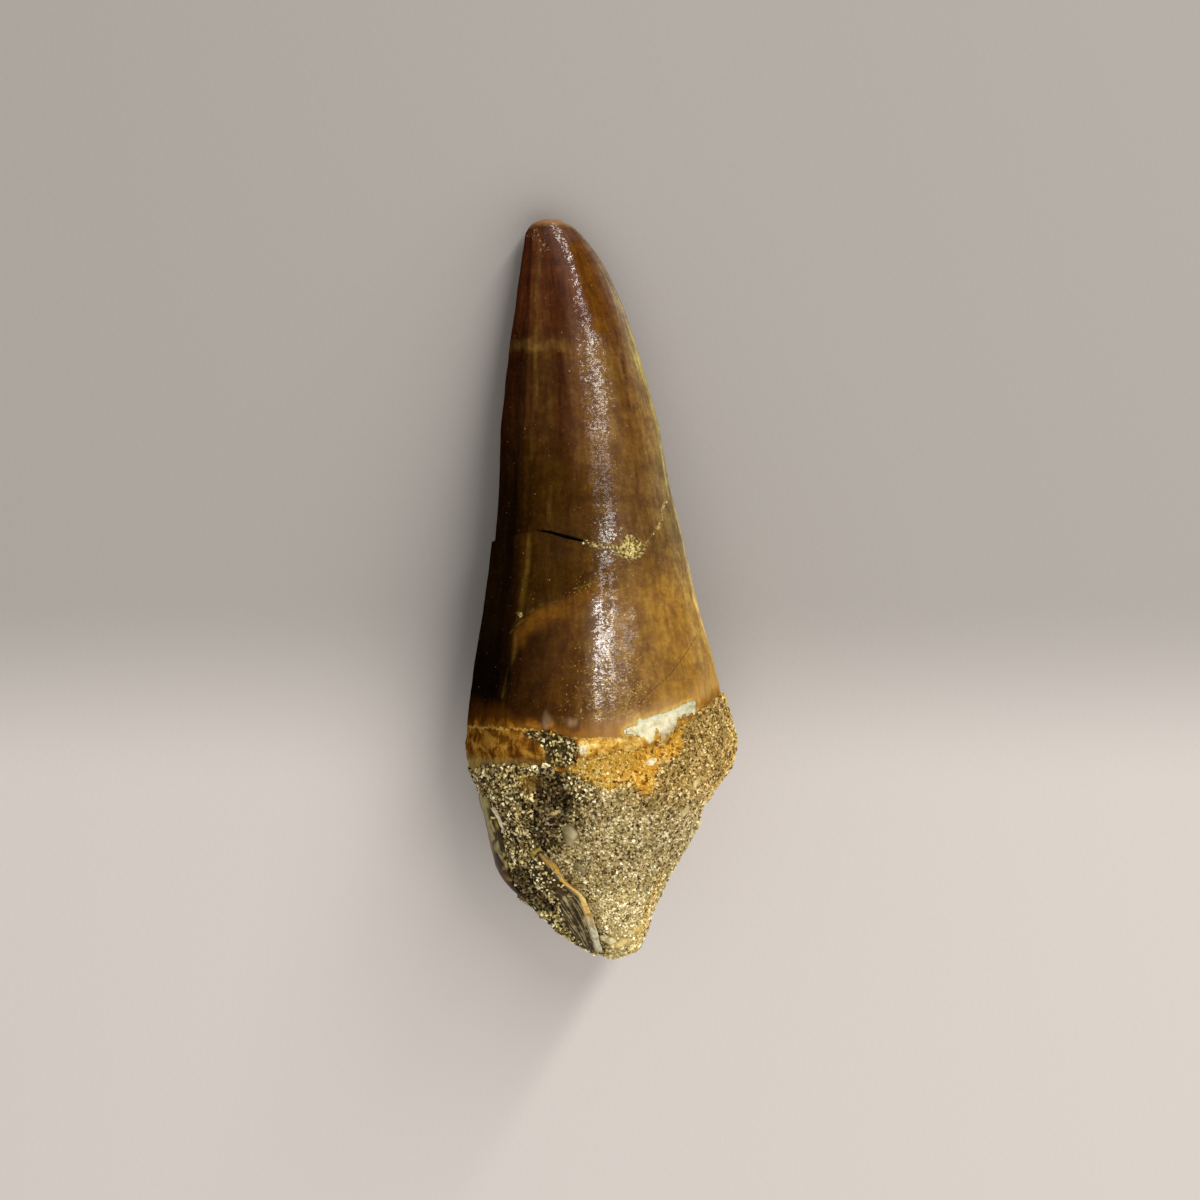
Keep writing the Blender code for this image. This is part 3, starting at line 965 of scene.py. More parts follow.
def grit_group():
    """Coarse and fine grain of stone: a tone from 0 to 1, and a height."""
    graph = Group("grit", "ShaderNodeTree", {"Size": "Float"}, {"Tone": "Float", "Height": "Float"})
    place = graph.millimetres()
    fine = 1.0 / graph.given["Size"]
    tone = graph.noise(place, fine * 0.4, 5.0, 0.6)
    return graph.giving(Tone=graph.step(tone, 0.32, 0.68), Height=graph.noise(place, fine))


def speckle_group():
    """Small specks that cover a share of a surface."""
    graph = Group("speckle", "ShaderNodeTree", {"Size": "Float", "Share": "Float"}, {"Mask": "Float"})
    specks = graph.noise(graph.millimetres(), 1.0 / graph.given["Size"], 2.0)
    feeds = {"Value": graph.given["Share"], "To Min": 0.76, "To Max": 0.36}
    edge = graph.node("ShaderNodeMapRange", feeds)[0]
    return graph.giving(Mask=graph.step(specks, edge, edge + 0.05))


def streaks_group():
    """Streaks that run along a piece, whose flow attribute goes around it in x and y and along it
    in z, ten millimetres to one."""
    graph = Group("streaks", "ShaderNodeTree", {"Flow": "Vector", "Fineness": "Float"}, {"Value": "Float"})
    place = graph.stretched(graph.given["Flow"], (1.0, 1.0, 0.3))
    return graph.giving(Value=graph.step(graph.noise(place, graph.given["Fineness"], 4.0, 0.4), 0.28, 0.72))


def facets_group():
    """Tiny flat facets, each tilted its own way, which sparkle: a height in millimetres."""
    graph = Group("facets", "ShaderNodeTree", {"Size": "Float", "Tilt": "Float"}, {"Height": "Float"})
    place = graph.millimetres()
    cells = graph.node("ShaderNodeTexVoronoi", {"Vector": place, "Scale": 1.0 / graph.given["Size"]})
    lean = graph.vector("SUBTRACT", cells["Color"], (0.5, 0.5, 0.5))
    rise = graph.vector("DOT_PRODUCT", graph.vector("SUBTRACT", place, cells["Position"]), lean)
    return graph.giving(Height=rise * graph.given["Tilt"] * 2.0)


def gravel_group():
    """Grains packed side by side: each grain's own tone, a height, and where the gaps are."""
    wanted = {"Tone": "Float", "Height": "Float", "Gap": "Float"}
    graph = Group("gravel", "ShaderNodeTree", {"Size": "Float"}, wanted)
    place = graph.millimetres()
    per_mm = 1.0 / graph.given["Size"]
    bend = graph.noise(place, per_mm, 2.0, output="Color")
    place = graph.vector("ADD", place, graph.vector("SCALE", bend, Scale=graph.given["Size"] * 1.6))
    cells = graph.node("ShaderNodeTexVoronoi", {"Vector": place, "Scale": per_mm})
    return graph.giving(Tone=graph.split(cells["Color"])[0], Height=graph.step(cells["Distance"], 0.75, 0.1),
                        Gap=graph.step(cells["Distance"], 0.42, 0.72))


def new_material(name, **sockets):
    """A material, its shader with its plain values set, and the graph around it."""
    material = bpy.data.materials.new(name)
    material.use_nodes = True
    shader = material.node_tree.nodes["Principled BSDF"]
    for socket, value in sockets.items():
        shader.inputs[socket.replace("_", " ").title().replace("Ior", "IOR")].default_value = value
    return material, Graph(material.node_tree), shader


def finish(graph, shader, colour, roughness, height_mm):
    """Feeds a shader. The height is in millimetres."""
    bump = graph.node("ShaderNodeBump", {"Strength": 1.0, "Distance": MM, "Height": height_mm})["Normal"]
    feeds = {"Base Color": colour, "Roughness": roughness, "Normal": bump, "Coat Normal": bump}
    for socket, source in feeds.items():
        graph.feed(shader.inputs[socket], source)


# Enamel. The first number of each stop goes from the tooth's left side, 0, to its right, 1. The pale stops at
# the right end are painted light: a glow through the thin right edge.

TIP_SIDES = (
    (0.0, (0.070, 0.018, 0.006)), (0.14, (0.070, 0.020, 0.007)), (0.25, (0.076, 0.026, 0.009)),
    (0.38, (0.052, 0.013, 0.004)), (0.5, (0.085, 0.030, 0.013)), (0.6, (0.100, 0.038, 0.018)),
    (0.75, (0.072, 0.020, 0.003)), (0.88, (0.110, 0.046, 0.018)), (0.96, (0.180, 0.125, 0.085)),
    (1.0, (0.330, 0.260, 0.160)),
)
UPPER_SIDES = (
    (0.0, (0.028, 0.008, 0.002)), (0.12, (0.030, 0.010, 0.003)), (0.3, (0.060, 0.025, 0.005)),
    (0.39, (0.038, 0.011, 0.002)), (0.54, (0.110, 0.050, 0.018)), (0.64, (0.145, 0.076, 0.028)),
    (0.75, (0.130, 0.064, 0.016)), (0.82, (0.100, 0.042, 0.008)), (0.9, (0.180, 0.098, 0.036)),
    (0.96, (0.230, 0.160, 0.066)), (1.0, (0.390, 0.320, 0.130)),
)
MIDDLE_SIDES = (
    (0.0, (0.012, 0.005, 0.001)), (0.12, (0.007, 0.003, 0.001)), (0.2, (0.024, 0.009, 0.001)),
    (0.32, (0.040, 0.017, 0.002)), (0.4, (0.038, 0.015, 0.002)), (0.54, (0.070, 0.031, 0.005)),
    (0.66, (0.108, 0.054, 0.019)), (0.82, (0.098, 0.047, 0.013)), (0.9, (0.142, 0.082, 0.026)),
    (0.97, (0.200, 0.142, 0.068)), (1.0, (0.400, 0.330, 0.190)),
)
BASE_SIDES = (
    (0.0, (0.004, 0.002, 0.001)), (0.13, (0.004, 0.002, 0.001)), (0.2, (0.018, 0.006, 0.001)),
    (0.32, (0.048, 0.018, 0.002)), (0.42, (0.074, 0.029, 0.004)), (0.54, (0.150, 0.078, 0.026)),
    (0.66, (0.176, 0.091, 0.026)), (0.78, (0.200, 0.101, 0.020)), (0.9, (0.256, 0.130, 0.024)),
    (0.97, (0.380, 0.235, 0.070)), (1.0, (0.540, 0.380, 0.140)),
)
GUM_SIDES = (
    (0.0, (0.050, 0.014, 0.001)), (0.13, (0.075, 0.024, 0.002)), (0.3, (0.060, 0.020, 0.002)),
    (0.42, (0.130, 0.050, 0.007)), (0.54, (0.270, 0.140, 0.045)), (0.7, (0.400, 0.240, 0.100)),
    (0.85, (0.340, 0.180, 0.060)), (1.0, (0.460, 0.280, 0.070)),
)
# How far above the gum line the enamel lets the light through, in millimetres, from side to side.
GUM_REACH = ((0.0, 2.9), (0.14, 2.8), (0.22, 1.3), (0.36, 1.2), (0.5, 2.2), (0.7, 2.8), (1.0, 2.9))
CRUST_TONES = (
    (0.0, (0.170, 0.066, 0.008)), (0.3, (0.390, 0.180, 0.022)), (0.55, (0.610, 0.350, 0.060)),
    (0.8, (0.760, 0.540, 0.160)), (1.0, (0.850, 0.740, 0.400)),
)
BAND_TONES = (
    (0.0, (0.070, 0.024, 0.003)), (0.35, (0.150, 0.056, 0.006)), (0.7, (0.260, 0.115, 0.014)),
    (1.0, (0.340, 0.175, 0.028)),
)
CHIP_TONES = (
    (0.0, (0.500, 0.440, 0.240)), (0.4, (0.640, 0.600, 0.400)), (1.0, (0.780, 0.740, 0.520)),
)
FLECK_TONES = (
    (0.0, (0.050, 0.028, 0.006)), (0.4, (0.175, 0.105, 0.018)), (0.66, (0.410, 0.310, 0.080)),
    (1.0, (0.720, 0.620, 0.270)),
)
# Where up the crown the enamel is polished: heights in millimetres, and how much of its gloss is left.
POLISH = (
    (0.0, 0.7), (1.5, 0.6), (3.5, 0.8), (5.0, 1.0), (9.8, 1.0), (10.6, 0.25), (12.6, 0.2), (13.8, 0.7),
    (14.5, 0.5), (15.4, 0.7), (16.6, 0.3), (17.8, 0.14), (22.5, 0.18), (23.7, 0.5), (24.6, 0.2),
    (25.8, 0.5), (28.6, 0.5), (29.3, 0.22), (30.2, 0.8), (31.3, 0.6), (32.6, 0.3), (34.6, 0.45),
    (36.5, 1.0), (39.5, 1.0), (41.0, 0.5),
)
PALE_RING_HEIGHT = 30.6
WHITE = (1.0, 1.0, 1.0)
RUST = (0.150, 0.065, 0.014)
BLACK_BROWN = (0.006, 0.003, 0.0015)
DARK_BROWN = (0.036, 0.012, 0.003)
AMBER = (0.112, 0.043, 0.004)
OLIVE = (0.130, 0.078, 0.012)
PALE_TAN = (0.170, 0.098, 0.024)
LILAC_TAN = (0.330, 0.215, 0.120)
DUST = (0.460, 0.300, 0.090)
PALE_DUST = (0.520, 0.400, 0.180)
ORANGE = (0.330, 0.135, 0.012)
GUM_YELLOW = (0.620, 0.420, 0.100)
CRUMB = (0.400, 0.270, 0.150)
GLINT = (0.660, 0.580, 0.540)
WORN_RIM = (0.420, 0.210, 0.080)
LIP_YELLOW = (0.420, 0.320, 0.100)
SHADED_SAND = (0.050, 0.036, 0.014)


class Enamel(Graph):
    """The crown's material. Its masks and noises are read once, and each finish is laid over the
    ones before it."""

    def __init__(self, groups):
        self.material, _, self.shader = new_material(
            "enamel", specular_ior_level=0.0, coat_roughness=0.115, coat_ior=1.65)
        super().__init__(self.material.node_tree)
        self.groups = groups
        self.place = self.millimetres()
        self.flow = self.read("flow", "Vector")
        self.side, _, tall = self.split(self.flow)
        self.height = tall * 10.0
        self.across = self.side * 0.5 + 0.5
        self.streak = self.group(groups["streaks"], Flow=self.flow, Fineness=5.0)["Value"]
        self.fine_streak = self.group(groups["streaks"], Flow=self.flow, Fineness=17.0)["Value"]
        self.cloud = self.noise(self.place, 0.28, 3.0, 0.5)
        self.grain = self.noise(self.place, 3.2)
        self.grit = self.group(groups["grit"], Size=0.32)
        self.ragged = self.grit["Height"] * 0.4 - 0.2

    def specks(self, size, share):
        return self.group(self.groups["speckle"], Size=size, Share=share)["Mask"]

    def along_flow(self, stretch, detail=3.0, wander=0.0):
        """Noise that is stretched around and along the crown."""
        return self.noise(self.stretched(self.flow, stretch), 1.0, detail, wander)

    def ground(self):
        """Brown enamel: near black on its left flank, violet at the tip, golden at its base, and pale at its
        right edge as a painted glow of light through it.
        """
        wander = (self.streak - 0.5) * 0.12 + self.side
        across = wander * 0.5 + 0.5
        level = self.cloud * 6.0 + self.height
        middle = self.ramp(across, MIDDLE_SIDES)
        colour = self.mix(self.step(level, 21.0, 28.0), middle, self.ramp(across, UPPER_SIDES))
        colour = self.mix(self.step(level, 32.0, 37.0), colour, self.ramp(across, TIP_SIDES))
        below = self.read("below_healed")
        golden = self.step(below, -0.6, 2.4) * self.step(self.height, 14.5, 9.0)
        colour = self.mix(golden, colour, self.ramp(across, BASE_SIDES))
        band = self.product(self.step(below, -0.1, 0.6), self.step(below, 2.6, 1.0),
                            self.step(self.side, 0.3, -0.1), self.step(self.side, -0.72, -0.56), 0.75)
        return self.mix(band, colour, AMBER)

    def drawn_lines(self, colour):
        """What runs along the enamel: pale, dark and amber lines, and a pale ring below the tip."""
        pale = self.step(self.read("pale_lines"), 1.0, 0.1) * self.step(self.streak, 0.15, 0.8) * 0.5
        colour = self.mix(pale, colour, OLIVE)
        amber = self.step(self.read("amber"), 1.1, 0.4) * self.step(self.cloud, 0.3, 0.5) * 0.7
        colour = self.mix(amber, colour, AMBER)
        dark = self.step(self.read("dark_lines"), 1.0, 0.1) * self.step(self.grain, 0.35, 0.6) * 0.6
        colour = self.mix(dark, colour, DARK_BROWN)
        away = abs(self.streak * 0.5 + self.height - PALE_RING_HEIGHT)
        ring = self.step(away, 0.7, 0.1) * self.step(self.side, 0.15, -0.2) * 0.3
        return self.mix(ring, colour, PALE_TAN)

    def mottled(self, colour):
        """Streaks along the enamel, clouds across it, faint growth rings, a fine grain, wrinkles
        and specks."""
        clouds = self.step(self.noise(self.place, 0.75, 4.0, 0.6), 0.35, 0.65)
        rings = self.step(self.along_flow((0.8, 0.8, 9.0), 4.0), 0.36, 0.64)
        grain = self.step(self.grain, 0.34, 0.66)
        wrinkles = self.step(self.along_flow((9.0, 9.0, 40.0), 4.0, 1.2), 0.34, 0.66)
        for share, below, above in (
                (self.fine_streak, (0.80, 0.76, 0.72), (1.20, 1.20, 1.18)),
                (clouds, (0.84, 0.80, 0.90), (1.16, 1.20, 1.02)),
                (rings, (0.94, 0.93, 0.93), (1.06, 1.06, 1.06)),
                (grain, (0.88, 0.865, 0.85), (1.12, 1.12, 1.13)),
                (wrinkles, (0.96, 0.955, 0.955), (1.04, 1.045, 1.045))):
            colour = self.tinted(colour, self.mix(share, below, above))
        return self.mix(self.specks(0.3, 0.12) * 0.25, colour, PALE_TAN)

    def dusted(self, colour):
        """Specks of dry sand on the enamel, thickest low down on the side that shows."""
        facing = self.step(self.side, -0.5, 0.12) * self.step(self.side, 0.62, 0.3)
        clumps = self.step(self.noise(self.place, 1.3, 4.0, 0.8), 0.3, 0.7) * 0.75 + 0.25
        low = self.greatest(self.step(self.height, 12.5, 3.0) * 0.6, self.step(self.height, 22.0, 9.0) * 0.3)
        share = low * facing * clumps
        colour = self.mix(self.specks(0.19, share * 1.15) * 0.5, colour, DUST)
        colour = self.mix(self.specks(0.14, share * 0.8) * 0.45, colour, PALE_DUST)
        colour = self.mix(self.specks(0.18, share) * 0.55, colour, DARK_BROWN)
        return self.mix(self.specks(0.22, 0.03), colour, DUST)

    def near_gum(self, colour):
        """Thin, translucent enamel above the gum line, orange where it meets the collar."""
        uneven = (self.streak - 0.5) * 1.1 + self.read("gum")
        longest = max(mm for _, mm in GUM_REACH)
        reach = self.ramp(self.across, [(at, (mm / longest,) * 3) for at, mm in GUM_REACH]) * longest
        glow = self.step(uneven, reach, reach * 0.3) * 0.9
        colour = self.mix(glow, colour, self.ramp(self.across, GUM_SIDES))
        streaks = self.mix(self.fine_streak, (0.7, 0.64, 0.6), (1.2, 1.22, 1.25))
        colour = self.mix(glow * 0.7, colour, self.tinted(colour, streaks))
        patches = self.step(self.noise(self.place, 1.1, 3.0, 0.4), 0.42, 0.6)
        orange = self.step(uneven + self.ragged, 0.9, 0.1) * (patches * 0.6 + 0.25)
        colour = self.mix(orange, colour, ORANGE)
        pale = self.step(self.read("pale"), -0.25, 0.25) * (self.fine_streak * 0.5 + 0.05)
        return self.mix(pale, colour, LILAC_TAN)

    def veined(self, colour):
        """The healed crack, the gold vein that runs up from it, and a hairline scratch."""
        healed = self.read("healed")
        line = self.step(healed, 0.2, 0.02) * self.step(self.grit["Tone"], 0.3, 0.8) * 0.4
        colour = self.mix(line, colour, OLIVE)
        beside = self.product(self.step(healed, 0.8, 0.1), self.step(self.side, -0.4, -0.1),
                              self.step(self.side, 0.5, 0.2), 0.42)
        colour = self.mix(self.specks(0.16, beside) * 0.4, colour, DUST)
        spots = self.step(self.noise(self.place, 1.5), 0.42, 0.6)
        vein = self.step(self.grit["Tone"] * 0.3 + self.read("vein"), 0.34, 0.12)
        vein = vein * (spots * 0.6 + 0.15)
        colour = self.mix(vein, colour, DUST)
        scratch = self.step(self.read("scratch"), 0.09, 0.02) * 0.6
        return self.mix(scratch, colour, DARK_BROWN)

    def collar_colour(self):
        """A streaked brown band on the left, and a yellow crust with pale spots on the right."""
        patchy = self.noise(self.stretched(self.place, (0.7, 1.1, 0.7)), 1.0, 4.0, 0.6)
        band = self.ramp(self.step(self.fine_streak * 0.25 + patchy, 0.42, 0.82), BAND_TONES)
        tone = self.grit["Tone"] * 0.5 + self.step(patchy, 0.35, 0.65) * 0.55
        sandy = self.ramp(self.grain * 0.5 + (tone - 0.28), CRUST_TONES)
        sandy = self.mix(self.specks(0.17, 0.26) * 0.8, sandy, RUST)
        sandy = self.mix(self.specks(0.13, 0.16) * 0.6, sandy, CHIP_TONES[1][1])
        both = self.mix(self.step(self.side, -0.42, -0.3), band, sandy)
        pale = self.step(self.read("pale_crust") + self.ragged, -0.03, 0.15) * 0.85
        both = self.mix(pale, both, self.ramp(self.grit["Tone"], CHIP_TONES))
        lip = self.step(self.ragged * 2.5 + self.height, -2.5, -3.1) * self.step(self.side, -0.35, -0.6) * 0.5
        return self.mix(lip, both, LIP_YELLOW)

    def collar(self, colour):
        """The rough collar below the gum line, and the yellow line above it. It returns how much
        of the place is collar, too."""
        gum = self.read("gum")
        crust = self.step(gum + self.ragged, 0.08, -0.06)
        colour = self.mix(crust, colour, self.collar_colour())
        away = abs(self.ragged * 1.1 + gum)
        line = self.product(self.step(away, 0.13, 0.03), self.step(self.side, 0.5, 0.3),
                            self.step(self.grain, 0.4, 0.55), 0.75)
        return self.mix(line, colour, GUM_YELLOW), crust

    def chipped(self, colour):
        """The white chip at the collar. It returns where the chip is, too."""
        teeth = self.noise(self.stretched(self.place, (3.2, 0.8, 0.8)), 1.0)
        strip = self.read("grey_strip")
        deep = self.step(strip, 0.2, -0.5) * 0.9 + 0.15
        picket = (teeth - 0.5) * deep + self.read("white")
        white = self.step(picket + self.ragged, -0.02, 0.08)
        halo = self.step(picket, -0.55, 0.0) * 0.7
        colour = self.mix(halo, colour, self.mix(self.grit["Tone"], ORANGE, GUM_YELLOW))
        # Above the grey strip line the chip is tinted bluish grey: partly thin enamel over it, partly painted
        # shade under the enamel's edge.
        grey = self.mix(self.step(strip, -0.15, 0.2), WHITE, (0.8, 0.88, 0.92))
        cream = self.tinted(self.ramp(self.grit["Tone"], CHIP_TONES), grey)
        return self.mix(white * 0.94, colour, cream), white

    def gilded(self, colour):
        """Golden flecks in the chip by the open crack. It returns where they are, too."""
        wide = self.step(self.read("gold") + self.ragged * 1.8, -0.25, 0.3)
        trail = self.step(self.read("trail") - self.ragged, 0.3, 0.05)
        spots = self.step(self.noise(self.place, 2.4), 0.4, 0.56)
        gold = self.greatest(wide, trail * spots * 0.7)
        flecks = self.ramp(self.step(self.noise(self.place, 4.2), 0.32, 0.66), FLECK_TONES)
        return self.mix(gold * 0.9, colour, flecks), gold

    def damaged(self, colour):
        """Crumbs and a worn rim at the tip, a painted glint near it, the sand notch painted as shaded sand,
        and the open crack painted near black as shade. It returns where the surface is dull for it, too."""
        crumbs = self.step(self.read("crumbs") - self.ragged * 1.5, 0.45, 0.1) * self.specks(0.2, 0.55) * 0.6
        colour = self.mix(crumbs, colour, CRUMB)
        # A painted glint: pale specks along the tip's line.
        glint = self.specks(0.17, self.step(self.read("glint"), 0.6, 0.15) * 0.6) * 0.6
        colour = self.mix(glint, colour, GLINT)
        notch = self.step(self.read("notch") + self.ragged, -0.03, 0.08)
        colour = self.mix(notch, colour, SHADED_SAND)
        # The open crack is painted near black, as the shade inside it.
        crack = self.step(self.read("crack"), 1.15, 0.75)
        colour = self.mix(crack, colour, BLACK_BROWN)
        rim = self.step(self.height + self.ragged, 40.0, 40.7) * 0.7
        return self.mix(rim, colour, WORN_RIM), self.greatest(crumbs, notch, crack)

    def gloss(self, dull):
        """How much of the clear coat shows: patches along the crown, none on its dark flank."""
        waves = self.along_flow((1.2, 1.2, 5.0), 2.0)
        drifting = waves * 1.6 + (self.height - 0.8)
        top = POLISH[-1][0]
        polished = self.ramp(drifting / top, [(at / top, (left,) * 3) for at, left in POLISH])
        turned = self.step(self.side, -0.7, -0.25) * self.step(self.side, 0.95, 0.6)
        shine = self.step(self.read("shine"), 1.5, 0.6) * 0.82 + 0.18
        patches = self.step(self.along_flow((8.0, 8.0, 52.0)), 0.36, 0.52) * 0.5 + 0.34
        amber = self.step(self.read("amber"), 0.5, 1.2)
        return self.product(1.0 - dull, polished, turned, shine, patches, amber)

    def relief(self, dull):
        """Fine wrinkles around the crown and pits between them, and sand where it is dull."""
        wrinkles = self.along_flow((9.0, 9.0, 34.0)) * self.step(self.height, 40.7, 39.6) * 0.032
        steepest = self.step(self.height, 12.0, 20.0) * 0.035 + 0.06
        tilt = self.step(self.grain, 0.35, 0.65) * steepest + 0.02
        facets = self.group(self.groups["facets"], Size=0.21, Tilt=tilt)["Height"]
        return wrinkles + facets + dull * self.grit["Height"] * 0.25


def enamel_material(groups):
    enamel = Enamel(groups)
    colour = enamel.dusted(enamel.mottled(enamel.drawn_lines(enamel.ground())))
    colour, crust = enamel.collar(enamel.veined(enamel.near_gum(colour)))
    colour, white = enamel.chipped(colour)
    colour, gold = enamel.gilded(colour)
    colour, damage = enamel.damaged(colour)
    dull = enamel.greatest(crust, white, gold, damage)
    enamel.feed(enamel.shader.inputs["Coat Weight"], enamel.gloss(dull))
    finish(enamel, enamel.shader, colour, dull * 0.3 + 0.55, enamel.relief(dull))
    return enamel.material


# Sand, cement and the pieces bedded in them

GRAIN_TONES = (
    (0.0, (0.050, 0.028, 0.009)), (0.13, (0.124, 0.080, 0.027)), (0.26, (0.312, 0.226, 0.086)),
    (0.60, (0.460, 0.356, 0.158)), (0.84, (0.600, 0.495, 0.250)), (1.0, (0.880, 0.800, 0.570)),
)
FLAKY_TONES = (
    (0.0, (0.016, 0.009, 0.003)), (0.24, (0.055, 0.033, 0.010)), (0.40, (0.215, 0.147, 0.044)),
    (0.66, (0.490, 0.375, 0.135)), (0.84, (0.820, 0.680, 0.320)), (1.0, (1.000, 0.940, 0.640)),
)
STAINED_TONES = (
    (0.0, (0.120, 0.045, 0.007)), (0.08, (0.240, 0.110, 0.014)), (0.16, (0.500, 0.270, 0.034)),
    (0.6, (0.640, 0.400, 0.070)), (0.88, (0.740, 0.530, 0.150)), (1.0, (0.800, 0.690, 0.360)),
)
OCHRE_TONES = ((0.0, (0.36, 0.17, 0.025)), (0.4, (0.66, 0.38, 0.07)), (1.0, (0.78, 0.58, 0.22)))
GREY_BONE_TONES = ((0.25, (0.03, 0.019, 0.008)), (0.6, (0.1, 0.067, 0.024)), (0.95, (0.44, 0.36, 0.18)))
OLIVE_BONE_TONES = (
    (0.1, (0.028, 0.016, 0.004)), (0.4, (0.11, 0.062, 0.012)), (0.65, (0.22, 0.145, 0.036)),
    (0.9, (0.38, 0.3, 0.1)),
)
PALE_RIM_TONES = ((0.0, (0.2, 0.155, 0.045)), (1.0, (0.46, 0.39, 0.17)))
RED_BLACK_TONES = ((0.0, (0.010, 0.004, 0.002)), (0.6, (0.040, 0.016, 0.005)), (1.0, (0.11, 0.06, 0.02)))
PEBBLE_TONES = ((0.0, (0.13, 0.096, 0.038)), (0.5, (0.23, 0.185, 0.09)), (1.0, (0.36, 0.3, 0.16)))
BLEACHED_DARK = (0.36, 0.30, 0.17)
BLEACHED_PALE = (0.74, 0.68, 0.48)
DARK_OLIVE = (0.030, 0.022, 0.008)
PEBBLE_SPECK = (0.1, 0.07, 0.03)


def sandy_colour(graph, tone):
    """The colour of a grain, or of the cement, from its own tone and what the surface is there. Where the bed
    value is low, partly for painted shade, fewer grains are pale, and below 0.6 all are darker. Where it is
    flaky, they are pale or dark."""
    bed = graph.read("bed")
    turned = tone ** (bed * -2.3 + 3.2)
    colour = graph.mix(graph.read("flaky"), graph.ramp(turned, GRAIN_TONES), graph.ramp(tone, FLAKY_TONES))
    colour = graph.mix(graph.read("stain"), colour, graph.ramp(tone, STAINED_TONES))
    patches = graph.step(graph.noise(graph.millimetres(), 0.55, 4.0, 0.6), 0.34, 0.66)
    # The first tint is painted shade where the bed value is low; the third is a paler tone with painted light
    # on the right and low down.
    for share, below, above in (
            (graph.step(bed, 0.0, 0.6), (0.16, 0.12, 0.08), WHITE),
            (graph.read("yellowed"), WHITE, (1.02, 0.88, 0.60)),
            (graph.read("pale_tone_and_painted_light"), WHITE, (1.28, 1.32, 1.26)),
            (patches, (0.84, 0.83, 0.76), (1.12, 1.12, 1.16))):
        colour = graph.tinted(colour, graph.mix(share, below, above))
    return colour


def cement_material(groups):
    material, graph, shader = new_material("cement", specular_ior_level=0.04)
    gravel = graph.group(groups["gravel"], Size=0.22)
    grit = graph.group(groups["grit"], Size=0.3)
    # The gaps between the grains drawn on the cement are darker: partly the cement's own darker colour,
    # partly painted shade between the grains, deepest where the sand is flaky.
    gap = gravel["Gap"] * (graph.read("stain") * -0.6 + 1.0)
    deep = graph.mix(graph.read("flaky") * gap, WHITE, (0.36, 0.32, 0.28))
    colour = graph.tinted(sandy_colour(graph, gravel["Tone"]), deep)
    colour = graph.tinted(colour, graph.mix(gap, (1.05, 1.05, 1.05), (0.50, 0.44, 0.36)))
    relief = grit["Height"] * 0.2 + gravel["Height"] * 0.12
    finish(graph, shader, colour, grit["Tone"] * 0.1 + 0.75, relief)
    return material


def grain_material(groups):
    material, graph, shader = new_material("sand_grains", ior=1.54, specular_ior_level=0.12)
    tone = graph.read("tone")
    grit = graph.group(groups["grit"], Size=0.12)
    cloudy = graph.mix(grit["Tone"], (0.8, 0.8, 0.8), (1.15, 1.15, 1.15))
    colour = graph.tinted(sandy_colour(graph, tone), cloudy)
    finish(graph, shader, colour, tone * -0.2 + 0.55, grit["Height"] * 0.03)
    return material


def gold_grain_material(groups):
    material, graph, shader = new_material("gold_crust", ior=1.54)
    tone = graph.read("tone")
    grit = graph.group(groups["grit"], Size=0.12)
    colour = graph.mix(grit["Tone"] * 0.3, graph.ramp(tone, FLECK_TONES), AMBER)
    finish(graph, shader, colour, tone * -0.15 + 0.5, grit["Height"] * 0.03)
    return material


def ochre_bone_material(groups):
    """The splinter: an ochre skin along its crest, and a grey face with dark fibres beside it."""
    material, graph, shader = new_material("ochre_bone", specular_ior_level=0.08)
    grit = graph.group(groups["grit"], Size=0.3)
    fibres = graph.group(groups["streaks"], Flow=graph.read("flow", "Vector"), Fineness=13.0)["Value"]
    fibres = (grit["Tone"] - 0.5) * 0.5 + fibres
    crest = graph.step(grit["Tone"] * 0.5 + graph.read("crest"), 1.5, 1.05)
    bleached = graph.mix(grit["Tone"], BLEACHED_DARK, BLEACHED_PALE)
    ochre = graph.mix(graph.read("bleached"), graph.ramp(grit["Tone"], OCHRE_TONES), bleached)
    grey = graph.mix(graph.read("sand"), graph.ramp(fibres, GREY_BONE_TONES), (0.055, 0.036, 0.014))
    colour = graph.mix(crest, grey, ochre)
    finish(graph, shader, colour, grit["Tone"] * 0.2 + 0.5, grit["Height"] * 0.12 + fibres * 0.08)
    return material


def olive_bone_material(groups):
    """The shard of root: olive and amber on top with pale rims, dark olive in its hollow spots and reddish
    black along its overhanging lower edge, both painted shade.
    """
    material, graph, shader = new_material("olive_bone", specular_ior_level=0.06)
    grit = graph.group(groups["grit"], Size=0.4)
    fibres = graph.group(groups["streaks"], Flow=graph.read("flow", "Vector"), Fineness=5.0)["Value"]
    top = graph.ramp(grit["Tone"] * 0.6 + fibres * 0.4, OLIVE_BONE_TONES)
    # Dark olive in the hollow spots is painted shade.
    dark = graph.step(grit["Tone"] * 0.5 + graph.read("painted_shade_hollows"), 0.05, 0.4)
    top = graph.mix(dark, top, DARK_OLIVE)
    rim = graph.step(graph.read("rims"), 1.1, 0.4) * graph.step(grit["Tone"], 0.1, 0.5) * 0.85
    top = graph.mix(rim, top, graph.ramp(grit["Tone"], PALE_RIM_TONES))
    # Reddish black along the overhanging lower edge is painted shade.
    below = graph.step(grit["Tone"] * 0.4 + graph.read("edge"), 1.0, 0.45)
    colour = graph.mix(below, top, graph.ramp(grit["Tone"], RED_BLACK_TONES))
    finish(graph, shader, colour, grit["Tone"] * 0.2 + 0.3, grit["Height"] * 0.12 + fibres * 0.05)
    return material


